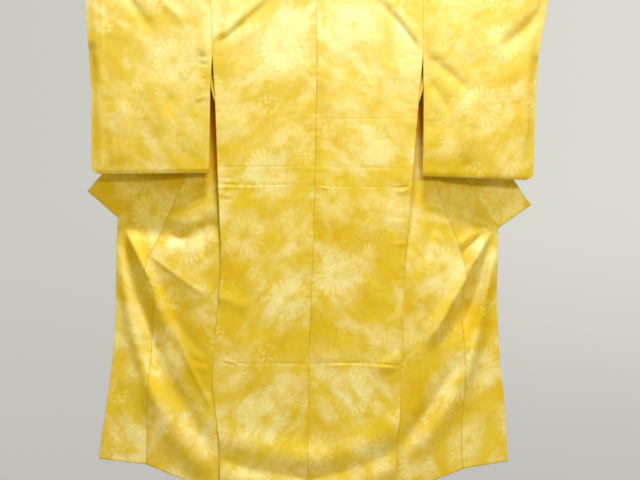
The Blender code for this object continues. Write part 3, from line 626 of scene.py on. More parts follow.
def side_edge(side, drop):
    """Where the side edge of the body panels hangs at a drop below the shoulder, straight at the armhole."""
    straight = mix(read(BACK_ROWS, side, 0.0), read(BACK_ROWS, side, ARMHOLE_DROP), drop / ARMHOLE_DROP)
    return np.where(np.asarray(drop) < ARMHOLE_DROP, straight, read(BACK_ROWS, side, drop))


def back_depth(drop):
    return read(BACK_ROWS, "depth", drop)


def crease(side, drop):
    """The crease of the turned front: a line from beside the neck to the side seam, then along the seam."""
    sign = sign_of(side)
    end_x, end_z = CREASE_MEETS_SEAM[side]
    line = mix(sign * (NECK_HALF_WIDTH + CREASE_START), end_x, drop / -end_z)
    seam = side_edge(side, drop) - sign * SEAM_TURN
    return np.minimum(line * sign, seam * sign) * sign


def first_layer_depth(drop, share):
    """Depth of the front's first layer, from its side edge (share 0) to the crease (share 1)."""
    joined = back_depth(drop) + WALL + SEAM_GAP
    at_seam = mix(SHOULDER_RADIUS, joined, ease((drop - ARMHOLE_DROP) / (SIDE_SEAM_TOP - ARMHOLE_DROP)))
    inside = mix(FIRST_LAYER_DEPTH, joined, ease((drop - LAYERS_JOIN_FROM) / LAYERS_JOIN_OVER))
    inside = mix(SHOULDER_RADIUS, inside, ease(drop / FIRST_LAYER_FROM))
    return mix(at_seam, inside, ease(share * FIRST_LAYER_RISE))


def roll_radius(side, drop):
    """Radius of the bend at the crease, tight where the crease has reached the side seam."""
    end_z = CREASE_MEETS_SEAM[side][1]
    tight = ease((drop - ROLL_TIGHTENS_FROM) / (-end_z - ROLL_TIGHTENS_FROM))
    return mix(ROLL_RADIUS, SIDE_ROLL_RADIUS, tight)


def collar_seam(side, drop):
    """The front's edge along the collar, from the neck point down to the collar's end. One point a drop."""
    drop = np.asarray(drop, dtype=float)
    sign = sign_of(side)
    start = np.array([sign * (NECK_HALF_WIDTH + CREASE_START), 0.0])
    line = unit(np.array(CREASE_MEETS_SEAM[side]) - start)
    rolled = np.minimum(drop, CREASE_ROLL)
    flat = np.stack([sign * (NECK_HALF_WIDTH - COLLAR_SLOPE * rolled), -rolled], axis=-1)
    offset = flat - start
    along = offset @ line
    across = offset - along[..., None] * line
    angle = math.pi * ease(rolled / CREASE_ROLL)
    place = start + along[..., None] * line + across * np.cos(angle)[..., None]
    lift = np.linalg.norm(across, axis=-1) * np.sin(angle)
    depth = SHOULDER_RADIUS + lift + roll_radius(side, rolled) * (1 - np.cos(angle))
    end = FREE_EDGE[side][0]
    t = np.clip((drop - CREASE_ROLL) / (COLLAR_END - CREASE_ROLL), 0.0, 1.0)
    run = np.array([end.x, end.z]) - place
    sag = COLLAR_SAG[side] * 4 * t * (1 - t) / np.linalg.norm(run, axis=-1).clip(1e-6)
    droop = np.stack([-sign * np.abs(run[..., 1]), -np.abs(run[..., 0])], axis=-1)
    place = place + run * t[..., None] + droop * sag[..., None]
    lower = mix(mix(depth, COLLAR_DEPTH, ease(t * 4)), end.depth, ease(t))
    return points_at(place[..., 0], np.where(drop > CREASE_ROLL, lower, depth), place[..., 1])


def on_rows(rows, drop):
    return points_at(read(rows, "x", drop), read(rows, "depth", drop), read(rows, "z", drop))


def okumi_seam(side, drop):
    """The inner edge of the front panel: the collar's seam, and from its lower part the okumi's."""
    drop = np.asarray(drop, dtype=float)
    top = collar_seam(side, OKUMI_TOP)
    rows = (Seam(OKUMI_TOP, top[0], top[2], top[1]),) + OKUMI_SEAM[side]
    upper = collar_seam(side, np.minimum(drop, OKUMI_TOP))
    return np.where((drop <= OKUMI_TOP)[..., None], upper, on_rows(rows, drop))


def outer_edge(side, drop):
    """The okumi's own edge: the collar's seam, then the free front edge."""
    drop = np.asarray(drop, dtype=float)
    upper = collar_seam(side, np.minimum(drop, COLLAR_END))
    return np.where((drop <= COLLAR_END)[..., None], upper, on_rows(FREE_EDGE[side], drop))


def front_relief(side, points, start_x):
    """The turned front's folds, creases and swells at each point, faded out towards the side seam."""
    x, z = points[..., 0], points[..., 2]
    away = np.abs(x - start_x)
    fine = fold_height(FRONT_CREASES[side], x, z) + swell_height(x, z, FRONT_SEED)
    return fold_height(FRONT_FOLDS[side], x, z) * ease(away / FOLD_FADE) + fine * ease(away / CREASE_FADE)


def first_layer(side, drop):
    """The front panel from its side edge to the crease, with slack where the side seam is open."""
    edge_x = side_edge(side, drop)
    turn_x = crease(side, drop)
    near = np.array(EDGE_STEPS) / np.maximum(np.abs(turn_x - edge_x), LEAST_FIRST_WIDTH)
    steps = FIRST_STEPS + 1 - len(EDGE_STEPS)
    rest = [mix(near[:, -1:], 1.0, k / steps) for k in range(1, steps + 1)]
    share = np.concatenate([near] + rest, axis=1)
    open_part = np.clip((drop - ARMHOLE_DROP) / (SIDE_SEAM_TOP - ARMHOLE_DROP), 0.0, 1.0)
    slack = OPEN_SLACK * np.sin(math.pi * open_part ** SLACK_LOWERED)
    x = mix(edge_x, turn_x, share) + sign_of(side) * slack * (1 - ease(share * 3))
    relief = back_relief(x, -drop) * (1 - ease(share * 2)) * ease((drop - SIDE_SEAM_TOP) / RELIEF_FADE)
    return points_at(x, first_layer_depth(drop, share) - relief, -drop)


def crease_roll(side, drop, start):
    """The bend at the crease, which closes over the first centimetres below the shoulder."""
    angle = math.pi * ease(drop / CREASE_ROLL)
    radius = roll_radius(side, drop)
    reach = np.maximum(angle, LEAST_ROLL / radius) * radius * np.linspace(0.0, 1.0, ROLL_STEPS + 1)[1:]
    bent = np.minimum(angle, reach / radius)
    straight = np.maximum(0.0, reach - angle * radius)
    inward = radius * np.sin(bent) + straight * np.cos(angle)
    back = radius * (1 - np.cos(bent)) + straight * np.sin(angle)
    return start + points_at(-sign_of(side) * inward, back, 0.0)


def turned_layer(side, drop, start):
    """The turned front from the crease to its inner seam."""
    end = okumi_seam(side, drop[:, 0])[:, None, :]
    length = np.linalg.norm(end - start, axis=-1)
    edge = [1 - step / np.maximum(length, LEAST_TURNED_WIDTH) for step in reversed(EDGE_STEPS)]
    steps = TURNED_STEPS - len(EDGE_STEPS) + 1
    share = np.concatenate([edge[0] * k / steps for k in range(1, steps)] + edge, axis=1)
    turned = mix(start, end, share[..., None])
    level = mix(start[..., 1], end[..., 1], ease(share * TURNED_RISE))
    turned[..., 1] = mix(turned[..., 1], level, ease(drop / TURNED_LEVEL_FROM))
    away = (1 - share) * length
    fade = ease((drop - CREASE_ROLL) / RELIEF_FADE)
    relief = front_relief(side, turned, start[..., 0]) + pucker_height(drop, away, OKUMI_SEED) * fade
    turned[..., 1] += turn_in(away) * fade - relief * ease(drop / NECK_RELIEF_FADE)
    return turned


def front_grid(side, drops):
    """The front panel's rows, from the side edge over the crease to the inner seam."""
    drop = np.asarray(drops, dtype=float)[:, None]
    first = first_layer(side, drop)
    roll = crease_roll(side, drop, first[:, -1:, :])
    return np.concatenate([first, roll, turned_layer(side, drop, roll[:, -1:, :])], axis=1)


def unevenness(x, z, seed):
    """How strong a crease is at each place: sharp here and almost gone there."""
    uneven = noise_at(x / UNEVEN_WIDTH, z / UNEVEN_HEIGHT, seed)
    return np.clip(USUAL_CREASE + CREASE_CHANGE * uneven, FAINTEST_CREASE, SHARPEST_CREASE)


def back_relief(x, z):
    """The back's fine creases and swells at each place."""
    creases = fold_height(BACK_CREASES, x, z) * unevenness(x, z, BACK_CREASE_SEED)
    return creases + swell_height(x, z, BACK_SEED)


def neck_inner(side, drop):
    """The panel's inner edge at the back: the centre seam, and the rounded neckline above it."""
    centre = read(BACK_ROWS, "centre", drop) + sign_of(side) * SEAM_GAP / 2
    around = np.sqrt(np.clip(1 - np.asarray(drop) / NECK_DROP, 0.0, 1.0))
    return centre + (sign_of(side) * NECK_HALF_WIDTH - centre) * around


def edged_shares(width, count):
    """Shares from 0 to 1 across each row of a panel, with narrow cells along both edges."""
    near = np.array(EDGE_STEPS) / width
    steps = count - 2 * (len(EDGE_STEPS) - 1)
    middle = [mix(near[:, -1:], 1 - near[:, -1:], k / steps) for k in range(1, steps)]
    return np.concatenate([near] + middle + [1 - near[:, ::-1]], axis=1)


def back_grid(side, drops, at_shoulder):
    """The back panel's rows, from the side edge to the centre seam or the neckline."""
    drop = np.asarray(drops, dtype=float)[:, None]
    edge_x = side_edge(side, drop)
    inner_x = neck_inner(side, drop)
    width = np.abs(inner_x - edge_x)
    even = edged_shares(width, FIRST_STEPS + ROLL_STEPS + TURNED_STEPS)
    share = mix(at_shoulder, even, ease((drop - EVEN_FROM) / EVEN_OVER))
    x = mix(edge_x, inner_x, share)
    from_side, from_centre = share * width, (1 - share) * width
    below_armhole = ease((drop - ARMHOLE_DROP) / ARMHOLE_FADE)
    free = mix(ease(from_side / SEAM_FADE), 1.0, below_armhole)
    puckers = pucker_height(-drop, from_centre, CENTRE_SEED) + pucker_height(-drop, from_side, SIDE_SEED)
    relief = fold_height(BACK_FOLDS, x, -drop) + back_relief(x, -drop) + puckers
    tucked = turn_in(from_side) * mix(ARMHOLE_TUCK, 1.0, below_armhole) + turn_in(from_centre)
    return points_at(x, back_depth(drop) + ease(drop / SHOULDER_FADE) * (tucked - free * relief), -drop)


def shoulder_grid(flat_row):
    """The stretch over the rod, half a turn of a tube."""
    angle = np.linspace(0.0, math.pi, SHOULDER_STEPS + 1)[:, None]
    return points_at(flat_row[:, 0], -SHOULDER_RADIUS * np.cos(angle), SHOULDER_RADIUS * np.sin(angle))


def front_drops():
    return (steps_between(FRONT_FROM, CREASE_ROLL, NECK_CELL) + steps_between(CREASE_ROLL, COLLAR_END)
            + steps_between(COLLAR_END, GARMENT_LENGTH) + [GARMENT_LENGTH])


def back_drops():
    """From the hem up, with closer rows at the narrow creases."""
    stops = set(steps_between(GARMENT_LENGTH, NECK_DROP))
    for fold in BACK_CREASES:
        if fold.width < NARROW and abs(fold.x2 - fold.x0) > LONG:
            stops.update(-fold.z0 + k * CREASE_CELL for k in range(-CREASE_ROWS, CREASE_ROWS + 1))
    ordered = sorted(stops, reverse=True)
    kept = [ordered[0]]
    for stop in ordered[1:]:
        if kept[-1] - stop > LEAST_CELL:
            kept.append(stop)
    return kept + [NECK_DROP * (1 - (k / NECK_STEPS) ** 2) for k in range(1, NECK_STEPS)]


def with_allowance(grid, reach, depth):
    """The grid with one more column: the seam's allowance, behind the neighbour or the piece itself."""
    edge = grid[:, -1, :]
    extra = edge + unit(edge - grid[:, -2, :]) * reach[:, None]
    extra[:, 1] += depth
    return np.concatenate([grid, extra[:, None, :]], axis=1)


def body_grid(side):
    """All rows of one body panel, from the back hem over the rod to the front hem, with its cloth sizes."""
    flat = front_grid(side, [0.0])[0]
    reach = np.abs(flat[:, 0] - flat[0, 0])
    back = back_grid(side, back_drops(), reach / reach[-1])
    over = shoulder_grid(flat)
    front = front_grid(side, front_drops())
    grid = np.concatenate([back, over, front])
    armhole = grid[:, 0, 2] > -ARMHOLE_DROP - ARMHOLE_MARGIN
    grid[armhole, 0, 0] -= sign_of(side) * SEAM_GAP / 2
    row = np.arange(len(grid))
    sewn_back = row < len(back) - NECK_STEPS
    sewn_front = row >= len(grid) - len(front) + CLOSED_ROWS
    allowance = np.where(sewn_back | sewn_front, ALLOWANCE, LEAST_ALLOWANCE)
    if side == "right":
        allowance = np.where(sewn_back, -ALLOWANCE, allowance)
    behind = np.where(allowance == LEAST_ALLOWANCE, 0.0, ALLOWANCE_DEPTH)
    quarter = SHOULDER_RADIUS * math.pi / 2
    along = np.concatenate([-quarter - np.array(back_drops()), np.linspace(-quarter, quarter, len(over)),
                            quarter + np.array(front_drops())])
    return with_allowance(grid, allowance, behind), along[:, None]


def okumi_grid(side):
    """The overlap panel: from its seam on the front panel to the collar's seam and the free edge."""
    drops = np.array([drop for drop in front_drops() if drop > OKUMI_TOP + OKUMI_TOP_GAP])
    inner = okumi_seam(side, drops)[:, None, :]
    outer = outer_edge(side, drops)[:, None, :]
    length = np.linalg.norm(outer - inner, axis=-1)
    share = edged_shares(np.maximum(length, LEAST_OKUMI_WIDTH), OKUMI_STEPS)
    gap = SEAM_GAP / 2 / length
    points = mix(inner, outer, (gap + share * (1 - 2 * gap))[..., None])
    drop = drops[:, None]
    away = share * length
    relief = front_relief(side, points, side_edge(side, drop)) + pucker_height(drop, away, OKUMI_SEED)
    sewn = ease((COLLAR_END - drop) / COLLAR_END_FADE)
    points[..., 1] += turn_in(away) - relief + turn_in((1 - share) * length) * sewn
    return points


def sleeve_across(side, drop, lowest, share):
    """Where the sleeve's cloth is across, from its outer edge (share 0), which is rounded at the bottom."""
    rows = SLEEVE_ROWS[side]
    sign = sign_of(side)
    inner = np.where(drop <= ARMHOLE_DROP, side_edge(side, drop), read(rows, "inner", drop))
    rounding = np.clip(drop - (lowest - SLEEVE_CORNER), 0.0, SLEEVE_CORNER)
    round_in = SLEEVE_CORNER - np.sqrt(SLEEVE_CORNER ** 2 - rounding ** 2)
    return mix(read(rows, "outer", drop) - sign * round_in, inner + sign * SEAM_GAP / 2, share)


def sleeve_depths(side, x, down, lowest, share):
    """Depth of the sleeve's front and back layers, which meet at the bottom and are held at the armhole."""
    rows = SLEEVE_ROWS[side]
    from_outer, from_inner = share * SLEEVE_WIDTH, (1 - share) * SLEEVE_WIDTH
    calm = ease(np.abs(x - read(rows, "inner", SLEEVE_CALM_AT)) / FOLD_FADE)
    calm = calm * ease(np.abs(x - read(rows, "outer", SLEEVE_CALM_AT)) / FOLD_FADE)
    below_armhole = ease((down - ARMHOLE_DROP) / ARMHOLE_FADE)
    loose = ease((down - SLEEVE_LOOSE_FROM) / SHOULDER_FADE)
    folds = fold_height(SLEEVE_FOLDS[side], x, -down) * calm
    creases = fold_height(SLEEVE_CREASES[side], x, -down) * unevenness(x, -down, SLEEVE_CREASE_SEED)
    fine = (creases + swell_height(x, -down, SLEEVE_BACK_SEED)) * loose
    fine = fine * mix(ease(from_inner / CREASE_FADE), 1.0, below_armhole)
    other = swell_height(x, -down, SLEEVE_FRONT_SEED) * loose + SLEEVE_FRONT_FOLDS * folds
    closing = 1 - SLEEVE_CLOSING * ease((down - lowest + BOTTOM_FADE) / BOTTOM_FADE)
    sewn = mix(MOUTH_PINCH, SEWN_PINCH, ease((down - SLEEVE_MOUTH[side] + BOTTOM_FADE) / FOLD_FADE))
    pinch = mix(sewn, 1.0, ease(from_outer / FOLD_FADE)) * closing
    held = (1 - ease(from_inner / SEAM_FADE)) * (1 - below_armhole)
    back, front = read(rows, "back", down), read(rows, "front", down)
    centre = (back + front) / 2
    hung = mix(back, back_depth(down), held) - folds * ease(down / SLEEVE_FOLD_FADE) - fine
    behind = front + SLEEVE_FRONT_RELIEF * np.maximum(other, -SLEEVE_LEAST_GAP)
    back_y = mix(centre, hung, pinch) + turn_in(from_inner) * mix(1.0, ARMHOLE_TUCK, held)
    return mix(centre, behind, pinch) - turn_in(from_inner), back_y


def sleeve_grid(side):
    """Rings of a sleeve from its outer edge to its inner one, each from front bottom to back bottom."""
    share = edged_shares(np.array([[SLEEVE_WIDTH]]), SLEEVE_STEPS).T
    lowest = -mix(*SLEEVE_BOTTOM[side], share)
    even = steps_between(0.0, SLEEVE_EVEN_TO)[1:] + [SLEEVE_EVEN_TO]
    tail = len(steps_between(SLEEVE_EVEN_TO, SLEEVE_TAIL_TO))
    rest = mix(SLEEVE_EVEN_TO, lowest, np.linspace(0, 1, tail + 1)[1:])
    down = np.concatenate([np.broadcast_to(even, (len(share), len(even))), rest], axis=1)
    x = sleeve_across(side, down, lowest, share)
    front_y, back_y = sleeve_depths(side, x, down, lowest, share)
    angle = np.linspace(0.0, math.pi, SHOULDER_STEPS + 1)
    top_x = sleeve_across(side, np.zeros_like(share), lowest, share)
    over = points_at(top_x, SHOULDER_RADIUS * np.cos(angle), SHOULDER_RADIUS * np.sin(angle))
    front = points_at(x, front_y, -down)[:, ::-1, :]
    return np.concatenate([front, over, points_at(x, back_y, -down)], axis=1), down.shape[1]


def collar_lean(side, station):
    """The unit direction in which the collar stands away from its seam near the neck."""
    lean = np.array([read(NECK_LEAN, column, station) for column in ("outward", "back", "up")])
    return unit(lean * (sign_of(side), 1, 1))


Station = namedtuple("Station", "seam lean drop across")


def panel_edge(side, drops):
    """The panel's last points along the collar, with their folds, and the direction across the edge."""
    drops = np.asarray(drops, dtype=float)
    ends = outer_edge(side, drops)
    on_okumi = (drops > OKUMI_TOP + OKUMI_TOP_GAP)[:, None]
    starts = np.where(on_okumi, okumi_seam(side, drops), front_grid(side, drops)[:, -INNER_COLUMNS, :])
    ends[:, 1] -= front_relief(side, ends, side_edge(side, drops)) * ease(drops / NECK_RELIEF_FADE)
    return ends, ends - starts


def collar_half(side):
    """Half of the collar, from the middle of the neck to the tip."""
    sign = sign_of(side)
    inward = np.array([-sign, 0.0, 0.0])
    stations = []
    for share in NECK_SHARES:
        drop = NECK_DROP * share
        x, across = neck_inner(side, drop), inward
        if share == 1.0:
            x, across = read(BACK_ROWS, "centre", drop), np.array([0.0, 0.0, 1.0])
        point = np.array([float(x), float(back_depth(drop)), -drop])
        stations.append(Station(point, collar_lean(side, 1.0 - share), 0.0, across))
    for k in range(1, SOLID_ARC_STEPS):
        angle = math.pi * k / SOLID_ARC_STEPS
        over = (SHOULDER_RADIUS + WALL) * np.array([0.0, -math.cos(angle), math.sin(angle)])
        point = over - NECK_HALF_WIDTH * inward
        stations.append(Station(point, collar_lean(side, 1.0 + k / SOLID_ARC_STEPS), 0.0, inward))
    drops = np.array([drop for drop in front_drops() if drop < COLLAR_END + 1e-6])
    edges, acrosses = panel_edge(side, drops)
    above, _ = panel_edge(side, np.maximum(drops - ALONG_EDGE, LEAST_DROP))
    below, _ = panel_edge(side, np.minimum(drops + ALONG_EDGE, COLLAR_END))
    for drop, edge, across, step in zip(drops, edges, acrosses, below - above):
        upward = unit(np.array([sign * abs(step[2]), 0.0, abs(step[0])]))
        near_neck = collar_lean(side, 2.0 + min(1.0, drop / LEAN_DROP))
        lean = mix(near_neck, upward, float(ease(drop / LEAN_DROP - LEAN_DELAY)))
        stations.append(Station(edge, unit(lean), drop, across))
    return stations


def clear_of_panel(lean, across, along):
    """The small step that keeps the collar's lower edge clear of the panel, longer where it stands up."""
    across = unit(across - np.dot(across, along) * along)
    upright = 1.0 if np.dot(lean, across) < 0 else abs(np.dot(lean, np.cross(along, across)))
    return across * (COLLAR_GAP * SEAM_GAP + COLLAR_STEP * WALL / 2 * upright)


def smooth_between(rows, first, last, steps):
    """Rows with extra ones between first and last, on Catmull-Rom curves through them."""
    result = list(rows[:first])
    for k in range(first, last):
        before, a, b, after = rows[k - 1], rows[k], rows[k + 1], rows[k + 2]
        for n in range(steps):
            t = n / steps
            bend = (2 * before - 5 * a + 4 * b - after) * t * t + (3 * a - before - 3 * b + after) * t ** 3
            result.append(0.5 * (2 * a + (b - before) * t + bend))
    return result + list(rows[last:])


def rounded(sections):
    """The band bent softly along its length: each section leans as its neighbours do on average.

    At the neck the folded edge also cuts the corner that its seam turns over the rod.
    """
    seam = sections[:, 1:2, :]
    along = lengths_along(seam, 0)[:, 0]
    pull = np.exp(-((along[:, None] - along[None, :]) / COLLAR_ROUNDING) ** 2)
    pull /= pull.sum(axis=1, keepdims=True)
    out = np.einsum("km,mcx->kcx", pull, sections - seam)
    cut = np.einsum("km,mcx->kcx", pull, seam) - seam
    beyond = np.abs(along - along[len(along) // 2]) - COLLAR_CORNER
    share = ease(np.linalg.norm(out, axis=2) / COLLAR_FOLDED) * (1 - ease(beyond / COLLAR_CORNER))[:, None]
    return seam + out + cut * share[..., None]


def collar_section(station, along):
    """The points round the folded band, from the allowance under its seam to the edge of its inner layer."""
    inner = -unit(np.cross(along, station.lean))
    point = station.seam + clear_of_panel(station.lean, station.across, along)
    opened = float(ease((station.drop - COLLAR_FOLDED_TO) / (COLLAR_OPEN_FROM - COLLAR_FOLDED_TO)))
    width = mix(COLLAR_FOLDED, COLLAR_OPEN, opened)
    returned = mix(COLLAR_RETURN, COLLAR_HEM, opened)
    away = [step + SEAM_GAP / 2 for step in EDGE_STEPS[:-1]]
    rest = COLLAR_STEPS - len(away)
    away += [mix(EDGE_STEPS[-1], width, n / rest) for n in range(rest + 1)]
    under = ALLOWANCE * float(max(NECK_ALLOWANCE, ease((station.drop - CREASE_ROLL) / RELIEF_FADE)))
    places = [(-under, 0.5 * under + TURN_IN)] + [(reach, float(turn_in(reach))) for reach in away]
    for turn in np.linspace(0.0, math.pi, ROLL_STEPS + 1)[1:]:
        places.append((width + SEAM_ROLL_RADIUS * math.sin(turn), SEAM_ROLL_RADIUS * (1 - math.cos(turn))))
    for n in range(1, RETURN_STEPS + 1):
        places.append((width - returned * n / RETURN_STEPS, 2 * SEAM_ROLL_RADIUS))
    return np.array([point + station.lean * out + inner * inward for out, inward in places])


def collar_grid():
    """The collar's sections from the left tip round the neck to the right tip, folded over lengthwise."""
    left = collar_half("left")
    stations = list(reversed(left)) + collar_half("right")[1:]
    seam = np.pad([station.seam for station in stations], ((1, 1), (0, 0)), mode="edge")
    rows = [collar_section(station, along) for station, along in zip(stations, unit(seam[2:] - seam[:-2]))]
    neck = len(left) - 1
    around = len(NECK_SHARES) + SOLID_ARC_STEPS - 1
    return rounded(np.array(smooth_between(rows, neck - around, neck + around, NECK_SMOOTHING)))


def grid_faces(grid, flip, closed=False):
    rows, columns = grid.shape[:2]
    faces = []
    for i in range(rows - 1):
        for j in range(columns if closed else columns - 1):
            k = (j + 1) % columns
            face = (i * columns + j, i * columns + k, (i + 1) * columns + k, (i + 1) * columns + j)
            faces.append(face[::-1] if flip else face)
    return faces


def lengths_along(grid, axis):
    """Distance from the first point along each line of the grid."""
    steps = np.linalg.norm(np.diff(grid, axis=axis), axis=-1)
    total = np.cumsum(steps, axis=axis)
    start = np.zeros_like(np.take(total, [0], axis=axis))
    return np.concatenate([start, total], axis=axis)


def add_map(mesh, name, across, along):
    """A UV map in metres, from each point's place across and along the cloth."""
    values = np.stack(np.broadcast_arrays(across, along), axis=-1).reshape(-1, 2)
    layer = mesh.uv_layers.new(name=name)
    corner = np.empty(len(mesh.loops), dtype=np.int32)
    mesh.loops.foreach_get("vertex_index", corner)
    layer.data.foreach_set("uv", values[corner].astype(np.float32).ravel())


def shell(name, grid, faces, cloth, seams, materials):
    """A thin silk shell: the grid's surface with its maps in metres, given a wall with a lining inside."""
    mesh = bpy.data.meshes.new(name)
    mesh.from_pydata(grid.reshape(-1, 3).tolist(), [], faces)
    add_map(mesh, "cloth", *cloth)
    add_map(mesh, "seams", *seams)
    mesh.validate()
    mesh.shade_smooth()
    piece = bpy.data.objects.new(name, mesh)
    bpy.context.scene.collection.objects.link(piece)
    for item in materials:
        mesh.materials.append(item)
    wall = piece.modifiers.new("Wall", "SOLIDIFY")
    wall.thickness = SHELL
    wall.offset = 0.0
    wall.use_even_offset = True
    wall.material_offset = 1
    return piece


def finish_piece(piece, node):
    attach(piece, "root")
    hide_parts(node)


def make_body(side, materials):
    name = "body_" + side
    grid, along = body_grid(side)
    faces = grid_faces(grid, flip=side == "right")
    across = lengths_along(grid, 1)
    from_inner = np.maximum(across[:, -2:-1] - across, 0.0)
    cloth = (BODY_WIDTH - across, along + PATTERN_START[name])
    piece = shell(name + "_silk", grid, faces, cloth, (from_inner, along), materials)
    finish_piece(piece, name)


def make_okumi(side, materials):
    name = "okumi_" + side
    grid = okumi_grid(side)
    faces = grid_faces(grid, flip=side == "right")
    across = lengths_along(grid, 1)
    along = lengths_along(grid, 0).mean(axis=1, keepdims=True)
    cloth = (across + OKUMI_CUT_FROM, along + PATTERN_START[name])
    piece = shell(name + "_silk", grid, faces, cloth, (across, along), materials)
    finish_piece(piece, name)


def make_sleeve(side, materials):
    name = "sleeve_" + side
    grid, reach = sleeve_grid(side)
    size = grid.shape[1]
    flip = side == "right"
    faces = grid_faces(grid, flip, closed=True)
    closed = [k for k in range(reach) if grid[0, k, 2] <= -SLEEVE_MOUTH[side]]
    for k in closed[:-1]:
        face = (k, size - 1 - k, size - 2 - k, k + 1)
        faces.append(face[::-1] if flip else face)
    across = lengths_along(grid, 0)
    inward = across[-1:] - across
    along = lengths_along(grid, 1).mean(axis=0, keepdims=True)
    middle = along[0, reach + SHOULDER_STEPS // 2]
    cloth = (inward, along - middle + PATTERN_START[name])
    piece = shell(name + "_silk", grid, faces, cloth, (inward + SLEEVE_SEAM_GAP, along), materials)
    finish_piece(piece, name)


def make_collar(materials):
    grid = collar_grid()
    faces = grid_faces(grid, flip=True)
    across = lengths_along(grid, 1)
    along = lengths_along(grid, 0).mean(axis=1, keepdims=True)
    cloth = (across + COLLAR_CUT_FROM, along + PATTERN_START["collar"])
    piece = shell("collar_silk_band", grid, faces, cloth, (across, along), materials)
    finish_piece(piece, "collar")


class Graph:
    """Shorthand for a node tree. A socket is given a number, a colour or another node's output."""

    def __init__(self, tree):
        self.tree = tree

    def give(self, item, inputs):
        for key, value in inputs.items():
            if isinstance(value, bpy.types.NodeSocket):
                self.tree.links.new(value, item.inputs[key])
            else:
                item.inputs[key].default_value = value

    def add(self, kind, inputs=None, **settings):
        item = self.tree.nodes.new("ShaderNode" + kind)
        for name, value in settings.items():
            setattr(item, name, value)
        self.give(item, inputs or {})
        return item

    def math(self, operation, a, b=0.0, c=0.0):
        return self.add("Math", {0: a, 1: b, 2: c}, operation=operation).outputs[0]

    def chain(self, operation, values):
        total = values[0]
        for value in values[1:]:
            total = self.math(operation, total, value)
        return total

    def times(self, *values):
        return self.chain("MULTIPLY", values)

    def plus(self, *values):
        return self.chain("ADD", values)

    def most(self, *values):
        return self.chain("MAXIMUM", values)

    def minus(self, a, b):
        return self.math("SUBTRACT", a, b)

    def over(self, a, b):
        return self.math("DIVIDE", a, b)

    def size(self, a):
        return self.math("ABSOLUTE", a)

    def hypotenuse(self, a, b):
        return self.math("SQRT", self.plus(self.times(a, a), self.times(b, b)))

    def smooth(self, value, low, high, to_low=0.0, to_high=1.0):
        """A soft step from to_low to to_high."""
        inputs = {0: value, 1: low, 2: high, 3: to_low, 4: to_high}
        return self.add("MapRange", inputs, interpolation_type="SMOOTHSTEP").outputs[0]

    def noise(self, vector, look):
        inputs = {"Vector": vector, "W": look.seed, "Scale": look.scale, "Detail": look.detail,
                  "Roughness": look.roughness, "Distortion": look.distortion}
        return self.add("TexNoise", inputs, noise_dimensions="4D").outputs["Fac"]

    def blend(self, share, a, b):
        """Colour b over colour a."""
        return self.add("Mix", {0: share, 6: a, 7: b}, data_type="RGBA").outputs[2]

    def split(self, vector):
        return self.add("SeparateXYZ", {0: vector}).outputs

    def mapped(self, vector, **inputs):
        return self.add("Mapping", {"Vector": vector, **inputs}).outputs[0]

    def uv(self, name):
        return self.add("UVMap", uv_map=name).outputs[0]

    def coordinates(self, kind):
        return self.add("TexCoord").outputs[kind]

    def bump(self, strength, distance, height, **inputs):
        inputs = {"Strength": strength, "Distance": distance, "Height": height, **inputs}
        return self.add("Bump", inputs).outputs[0]


def new_material(name):
    """A material, its graph and its shader."""
    material = bpy.data.materials.new(name)
    material.use_nodes = True
    return material, Graph(material.node_tree), material.node_tree.nodes["Principled BSDF"]


def group(name, inputs, outputs):
    """An empty node group with number sockets: the group, its graph, what it is given and its output node."""
    tree = bpy.data.node_groups.new(name, "ShaderNodeTree")
    for direction, sockets in (("INPUT", inputs), ("OUTPUT", outputs)):
        for socket in sockets:
            tree.interface.new_socket(name=socket, in_out=direction, socket_type="NodeSocketFloat")
    given = tree.nodes.new("NodeGroupInput").outputs
    return tree, Graph(tree), [given[socket] for socket in inputs], tree.nodes.new("NodeGroupOutput")


def local_place(graph, u, v, centre_u, centre_v):
    """Across and along from a motif's centre, with the repeat wrapped round."""
    along = graph.math("WRAP", graph.minus(v, centre_v), REPEAT / 2, -REPEAT / 2)
    return graph.minus(u, centre_u), along


def flower_group():
    """An open chrysanthemum: long rounded petals of uneven length round a small eye."""
    tree, graph, given, made = group("chrysanthemum", FLOWER_INPUTS, ("Petal", "Line", "Eye", "Haze"))
    u, v, centre_u, centre_v, radius, petals, turn = given
    across, along = local_place(graph, u, v, centre_u, centre_v)
    away = graph.over(graph.hypotenuse(across, along), radius)
    turned = graph.plus(graph.math("ARCTAN2", along, across), turn)
    around = graph.times(turned, graph.over(petals, 2 * math.pi))
    within = graph.times(graph.size(graph.minus(graph.math("FRACT", around), 0.5)), 2.0)
    number = graph.plus(graph.math("FLOOR", around), radius)
    own = graph.add("TexWhiteNoise", {"W": number}, noise_dimensions="1D").outputs["Value"]
    out = graph.over(away, graph.minus(1.0, graph.times(own, 0.12)))
    inside = graph.minus(1.0, graph.plus(graph.math("POWER", out, 5.0), graph.math("POWER", within, 2.6)))
    petal = graph.times(graph.smooth(inside, -0.04, 0.50), graph.smooth(own, 0.0, 1.0, 1.0, 0.62))
    rim = graph.times(graph.smooth(inside, -0.16, 0.0), graph.smooth(inside, 0.26, 0.04))
    graph.give(made, {
        "Petal": graph.times(petal, graph.smooth(away, 0.08, 0.55)),
        "Line": graph.times(rim, graph.smooth(away, 0.16, 0.34)),
        "Eye": graph.smooth(away, 0.28, 0.04),
        "Haze": graph.smooth(away, 1.9, 0.5),
    })
    return tree


